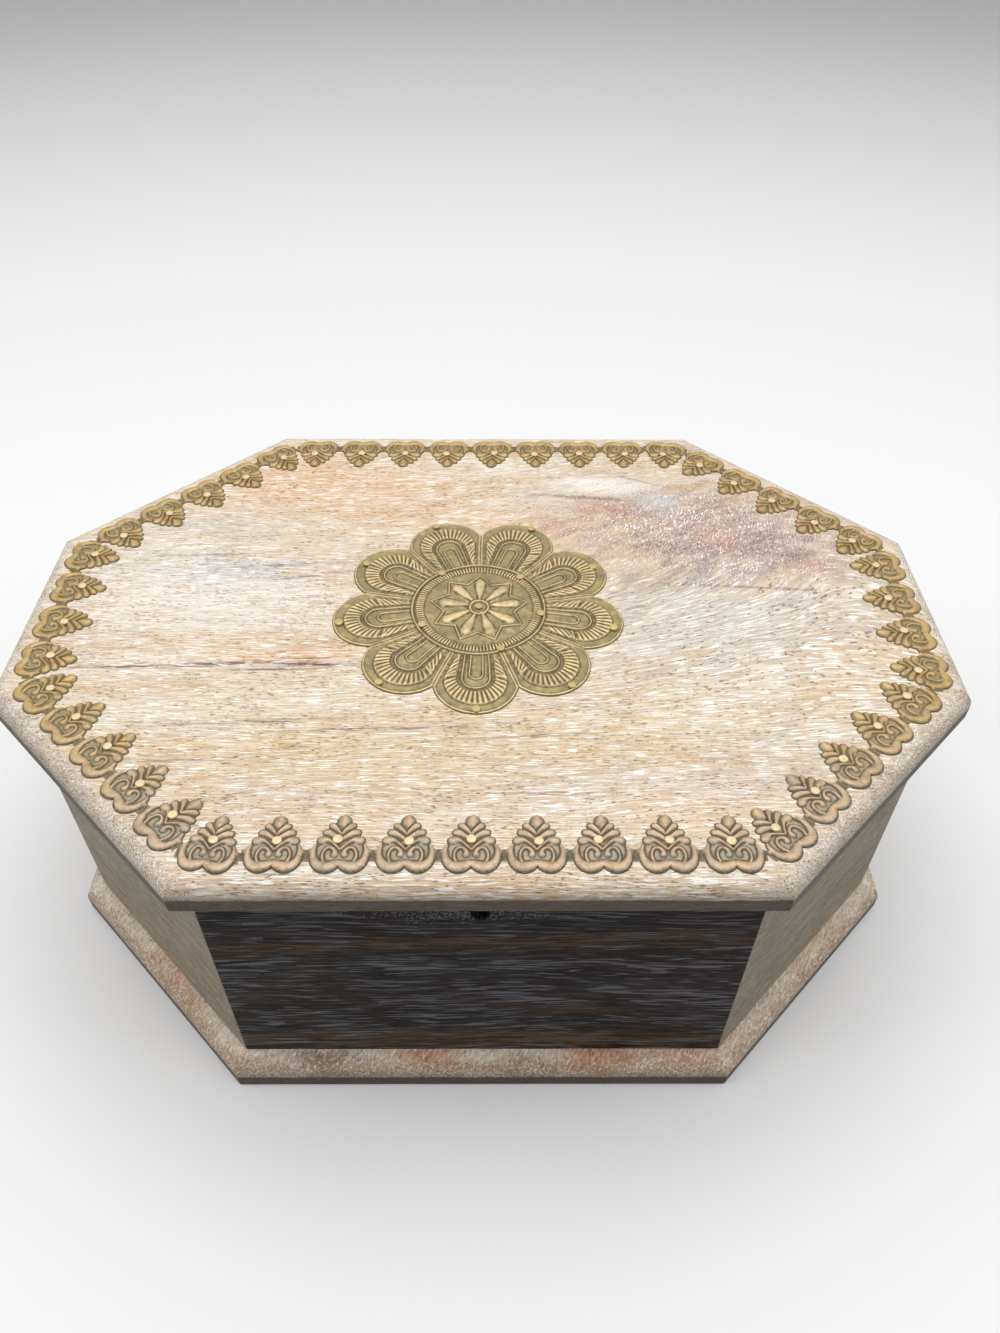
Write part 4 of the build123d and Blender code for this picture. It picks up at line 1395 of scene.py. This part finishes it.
class Boards:
    """The boards of the lid, the walls and the plinth, and the metal fittings, as the CAD has them."""

    wall_headings = {
        "front_right": 45, "right": 90, "back_right": 135, "back": 0, "back_left": 45, "left": 90,
        "front_left": 135,
    }
    brass_parts = (
        "hinge_left_wall_leaf", "hinge_left_lid_leaf", "hinge_right_wall_leaf", "hinge_right_lid_leaf",
        "hinge_wall_screws", "hinge_lid_screws", "lock_case", "lock_screws", "lid_staple", "staple_screws",
    )
    steel_parts = ("hinge_left_pin", "hinge_right_pin", "lock_bolt", "base_screws")

    def lid_wood(self) -> LimedWood:
        """Give the lid's board, with the figures that lie in it."""
        golden, tan_streak, plum = seen(212, 186, 136), seen(226, 178, 136), seen(96, 66, 70)
        mauve, pink, white = seen(172, 148, 144), seen(214, 152, 132), seen(236, 229, 220)
        brown, grey, rust = seen(104, 68, 56), seen(196, 194, 194), seen(176, 122, 106)
        peach, slate, orange = seen(220, 178, 132), seen(128, 120, 122), seen(214, 152, 96)
        # The lid's edge takes painted shade on its low side, below 114.4 mm.
        return LimedWood(
            "limed_lid_board", edge=seen(222, 196, 162), end_share=0.6, painted_shade_level=114.4, painted_shade_share=0.85,
            burl=Burl(120, 40, 75, 60, 45), pored=Figure(80, 44, 74, 38, -4, mauve, 1.0, 0.25),
            figures=figured(
                (-20, -62, 120, 15, 3, golden, 0.65), (60, -84, 60, 9, 2, peach, 0.35),
                (-64, 72, 62, 22, -4, peach, 0.75), (-20, 52, 46, 14, 2, peach, 0.45),
                (-95, 8, 55, 26, 0, white, 0.7), (-88, 20, 34, 9, 4, grey, 0.8, 0.7),
                (-70, 23, 24, 1.3, 5, slate, 0.75, 0.35), (-60, 17, 18, 1.0, 10, slate, 0.75, 0.3),
                (-92, 29, 30, 1.0, 2, slate, 0.5, 0.4), (-53, 18, 6, 4, 0, pink, 0.5),
                (86, 42, 66, 32, -6, mauve, 0.8), (70, 62, 34, 12, -10, plum, 0.22, 0.8),
                (100, 30, 40, 12, -8, plum, 0.2, 0.8), (45, 72, 24, 7, -6, white, 0.95, 0.35),
                (38, 64, 26, 1.3, -6, slate, 0.75, 0.3), (58, 76, 14, 1.0, -24, slate, 0.6, 0.3),
                (66, 61, 13, 8, 0, grey, 0.9), (84, 40, 9, 7, -20, pink, 0.45),
                (116, 22, 8, 5, 10, pink, 0.4), (46, 57, 18, 6, -12, rust, 0.5),
                (30, 47, 14, 7, 30, rust, 0.35), (66, 12, 30, 10, 18, slate, 0.3, 0.9),
                (84, -10, 70, 24, 8, grey, 0.6, 0.6), (98, 11, 45, 0.9, -4, brown, 0.5, 0.4),
                (-58, -22.6, 32, 4.0, 2, tan_streak, 0.65, 0.35), (-50, -17, 18, 3.0, 6, rust, 0.2, 0.6),
                (-108, -27.8, 30, 0.9, 0.5, brown, 0.85, 0.12), (-82, -26.4, 20, 1.0, 2.5, plum, 1.0, 0.10),
                (-56, -26.6, 20, 1.2, -2, plum, 1.0, 0.10), (-66, -29.0, 16, 0.7, 1, plum, 0.85, 0.10),
                (-60, -24.2, 14, 0.6, 3, brown, 0.8, 0.10), (-30, -54, 30, 0.9, 2, brown, 0.6, 0.5),
                (-66, -51, 24, 1.0, 3, brown, 0.6, 0.5), (12, -57, 26, 0.8, 4, brown, 0.5, 0.5),
                (-84, -66, 16, 0.8, 2, brown, 0.5, 0.5), (20, -78, 22, 0.7, 1, brown, 0.5, 0.5),
                (-100, -106, 24, 7, 0, orange, 0.5), (10, -107, 30, 5, 0, orange, 0.4),
            ),
        )

    def wall_wood(self, name: str, heading: float, seed: float) -> LimedWood:
        """Give a wall's board: grey limed wood, darker than the lid's in part to paint the shade that the
        walls stand in.
        """
        # Partly painted shade: these colours are darkened for the shade under the lid.
        return LimedWood(
            name, Lie.UPRIGHT, heading, pale=seen(164, 152, 130), warm=seen(158, 134, 100),
            cool=seen(134, 127, 116), fibre=seen(96, 82, 64), lime=seen(222, 214, 198), pore=seen(80, 70, 56),
            edge_share=0.0, dash_size=(4.0, 0.42), seed=seed, lime_share=0.6, strand_share=0.3,
        )

    def front_wood(self) -> LimedWood:
        """Give the front wall's board, streaked with wax, with pale specks by the keyhole; its colours are
        darkened to paint the shade that the wall stands in under the lid.
        """
        brown, olive, plum, ash = seen(114, 90, 66), seen(76, 70, 54), seen(72, 50, 48), seen(96, 94, 92)
        # Painted shade: these dark colours stand in for the shade under the lid's overhang.
        return LimedWood(
            "dark_front_board", Lie.UPRIGHT, pale=seen(58, 51, 46), warm=seen(58, 44, 34),
            cool=seen(64, 64, 68), fibre=seen(28, 23, 20), lime=seen(138, 140, 148), pore=seen(18, 15, 13),
            edge_share=0.0, fibre_share=0.75, strand_share=0.18, lime_share=0.88, lime_level=0.57,
            lime_soft=0.05, pore_level=0.58, pore_length=9.0, dash_size=(12.0, 0.72), fibre_size=(20.0, 0.9),
            clump_size=(30.0, 7.0), clump_share=0.5, short_size=(1.0, 0.8), short_drop=-0.04, seed=5.0,
            gloss=0.1, pored=Figure(-8, 97, 34, 6, 0, ash, 1.0, 0.3),
            figures=figured(
                (-70, 50, 40, 40, 0, olive, 0.5), (66, 50, 30, 40, 0, plum, 0.5),
                (0, 20, 130, 8, 0, brown, 0.9, 0.35, 0.1), (44, 82, 80, 6, 2, brown, 0.7, 0.4, 0.07),
                (-50, 78, 60, 4, 4, brown, 0.8, 0.3, 0.07), (30, 40, 26, 4, -2, brown, 0.6, 0.5, 0.05),
            ),
        )

    def plinth_wood(self) -> LimedWood:
        """Give the plinth's board, pored all over."""
        orange, umber = seen(198, 138, 90), seen(120, 84, 62)
        # The plinth's edge takes painted shade on its low side, below 6 mm.
        return LimedWood(
            "limed_plinth_board", pale=seen(222, 208, 188), warm=seen(210, 184, 150),
            cool=seen(198, 186, 172), edge=seen(190, 160, 128), edge_share=0.75, edge_band=4.5,
            painted_shade_level=6.0, painted_shade_share=0.85, lime_share=0.7, lime_level=0.56, lime_soft=0.12,
            pore_share=0.45, short_size=(2.2, 0.7), short_drop=0.0, seed=8.0,
            pored=Figure(0, 0, 400, 400, 0, umber, 1.0),
            figures=figured(
                (-18, -105, 12, 6, 0, orange, 0.8), (38, -105, 15, 6, 0, orange, 0.9),
                (68, -104, 14, 6, 0, orange, 0.7), (-52, -106, 14, 5, 0, umber, 0.7),
                (14, -107, 12, 4, 0, umber, 0.5), (-110, -80, 18, 10, -45, orange, 0.6),
            ),
        )

    def build(self) -> None:
        """Give every board and fitting its finish."""
        finishes: dict[str, LimedWood | Metal] = {
            "lid_board": self.lid_wood(), "plinth_board": self.plinth_wood(), "wall_front": self.front_wood(),
        }
        for number, (side, heading) in enumerate(self.wall_headings.items()):
            finishes["wall_" + side] = self.wall_wood("limed_wall_" + side, heading, 11.0 + 3.0 * number)
        brass = Metal("satin_brass", seen(196, 170, 118), seen(140, 114, 74), roughness=0.4)
        steel = Metal("zinc_steel", seen(176, 176, 176), seen(120, 118, 114))
        finishes |= dict.fromkeys(self.brass_parts, brass) | dict.fromkeys(self.steel_parts, steel)
        made = {finish: finish.build() for finish in dict.fromkeys(finishes.values())}
        for name, finish in finishes.items():
            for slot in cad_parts[name].material_slots:
                slot.material = made[finish]
            LOG.info("%s: %s", name, finish.name)


# ---------------------------------------------------------------- studio


@dataclass
class Studio:
    """A pale floor, plain soft light and the camera.

    Each lamp is given by its name, place, size in metres and power in watts.
    """

    floor_half: float = 1700.0
    fill: float = 0.26
    backdrop: float = 0.9
    lamps: tuple[tuple[str, Place, float, float], ...] = (
        ("lamp_above", (0.0, 0.12, 1.3), 1.4, 16.5),
        ("lamp_left", (-1.1, -0.1, 0.9), 0.8, 4.5),
        ("lamp_right", (1.1, -0.1, 0.9), 0.8, 4.0),
    )
    lens: float = 27.28
    place: Place = (0.00347, -0.2544, 0.3436)
    forward: Place = (0.0067, 0.7122, -0.7020)
    right: Place = (0.99998, -0.00395, 0.00556)
    target: Place = (0.0, 0.0, 0.08)

    def camera(self) -> None:
        """Set the camera up."""
        data = bpy.data.cameras.new("view_camera")
        data.lens = self.lens
        data.sensor_width = 36.0
        data.clip_start = 0.01
        data.clip_end = 50.0
        camera = placed("view_camera", data)
        back = -Vector(self.forward).normalized()
        side = (Vector(self.right) - back * Vector(self.right).dot(back)).normalized()
        turn = Matrix((side, back.cross(side), back)).transposed()
        camera.matrix_world = Matrix.Translation(self.place) @ turn.to_4x4()
        bpy.context.scene.camera = camera

    def floor(self) -> None:
        """Lay the floor, paler to the camera than to the light that it returns to the box."""
        half = self.floor_half
        corners = [(-half, -half, 0), (half, -half, 0), (half, half, 0), (-half, half, 0)]
        mesh = meshed("studio_floor", corners, [(0, 1, 2, 3)])
        piece = placed("studio_floor", mesh)
        shader = Shader("pale_floor")
        tint = shader.mix(shader.in_sight(), seen(120, 120, 120), seen(236, 236, 236))
        mesh.materials.append(shader.finish(Base_Color=tint, Roughness=0.8))
        piece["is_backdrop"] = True

    def lamp(self, name: str, place: Place, size: float, power: float) -> None:
        """Hang a square soft lamp that looks at the box."""
        data = bpy.data.lights.new(name, "AREA")
        data.shape = "SQUARE"
        data.size = size
        data.energy = power
        lamp = placed(name, data)
        lamp.location = place
        lamp.rotation_euler = (Vector(self.target) - Vector(place)).to_track_quat("-Z", "Y").to_euler()

    def world(self) -> None:
        """Fill in softly, with a pale backdrop where it is seen or mirrored."""
        world = bpy.data.worlds.new("pale_studio")
        bpy.context.scene.world = world
        world.use_nodes = True
        tree = Tree(world.node_tree)
        background = world.node_tree.nodes["Background"].inputs
        inputs = {"Value": tree.in_sight(), "To Min": self.fill, "To Max": self.backdrop}
        tree.feed(background["Color"], seen(236, 236, 238))
        tree.feed(background["Strength"], tree.add(Value, "ShaderNodeMapRange", {}, inputs))

    def build(self) -> None:
        """Set up the whole studio."""
        self.camera()
        self.floor()
        self.world()
        for lamp in self.lamps:
            self.lamp(*lamp)
        bpy.context.scene.view_settings.view_transform = "Standard"
        LOG.info("studio ready")


def main() -> None:
    """Build everything in order."""
    logging.basicConfig(level=logging.INFO, format="%(name)s: %(message)s")
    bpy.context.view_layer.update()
    Studio().build()
    Boards().build()
    outline = Outline()
    scatter = Scatter("set_on_points")
    border, medallion, nails = Border(outline), Medallion(), Nails()
    border.build(scatter, AgedBrass("embossed_border_brass").build())
    olive = AgedBrass(
        "embossed_medallion_brass", hollow=seen(74, 66, 42), sheet=seen(156, 142, 94),
        ridge=seen(210, 187, 138), stain=seen(128, 118, 84), blush=seen(208, 166, 98), stain_share=0.75,
        rear_sheen_share=0.0,
    )
    medallion.build(scatter, olive.build())
    rubbed = Metal("rubbed_nail_brass", seen(214, 197, 154), seen(188, 168, 122), 0.25, 0.5)
    dull = Metal("dull_nail_brass", seen(184, 166, 112), seen(156, 138, 92), 0.3, 0.5)
    nails.build(scatter, "border_nail_heads", border.nail_spots(), "border_nails", rubbed, 4)
    nails.build(scatter, "medallion_nail_heads", medallion.nail_spots(), "medallion_nails", dull, 9)
    Lining(outline).build(Felt("wine_felt").build())


if __name__ == "__main__":
    main()
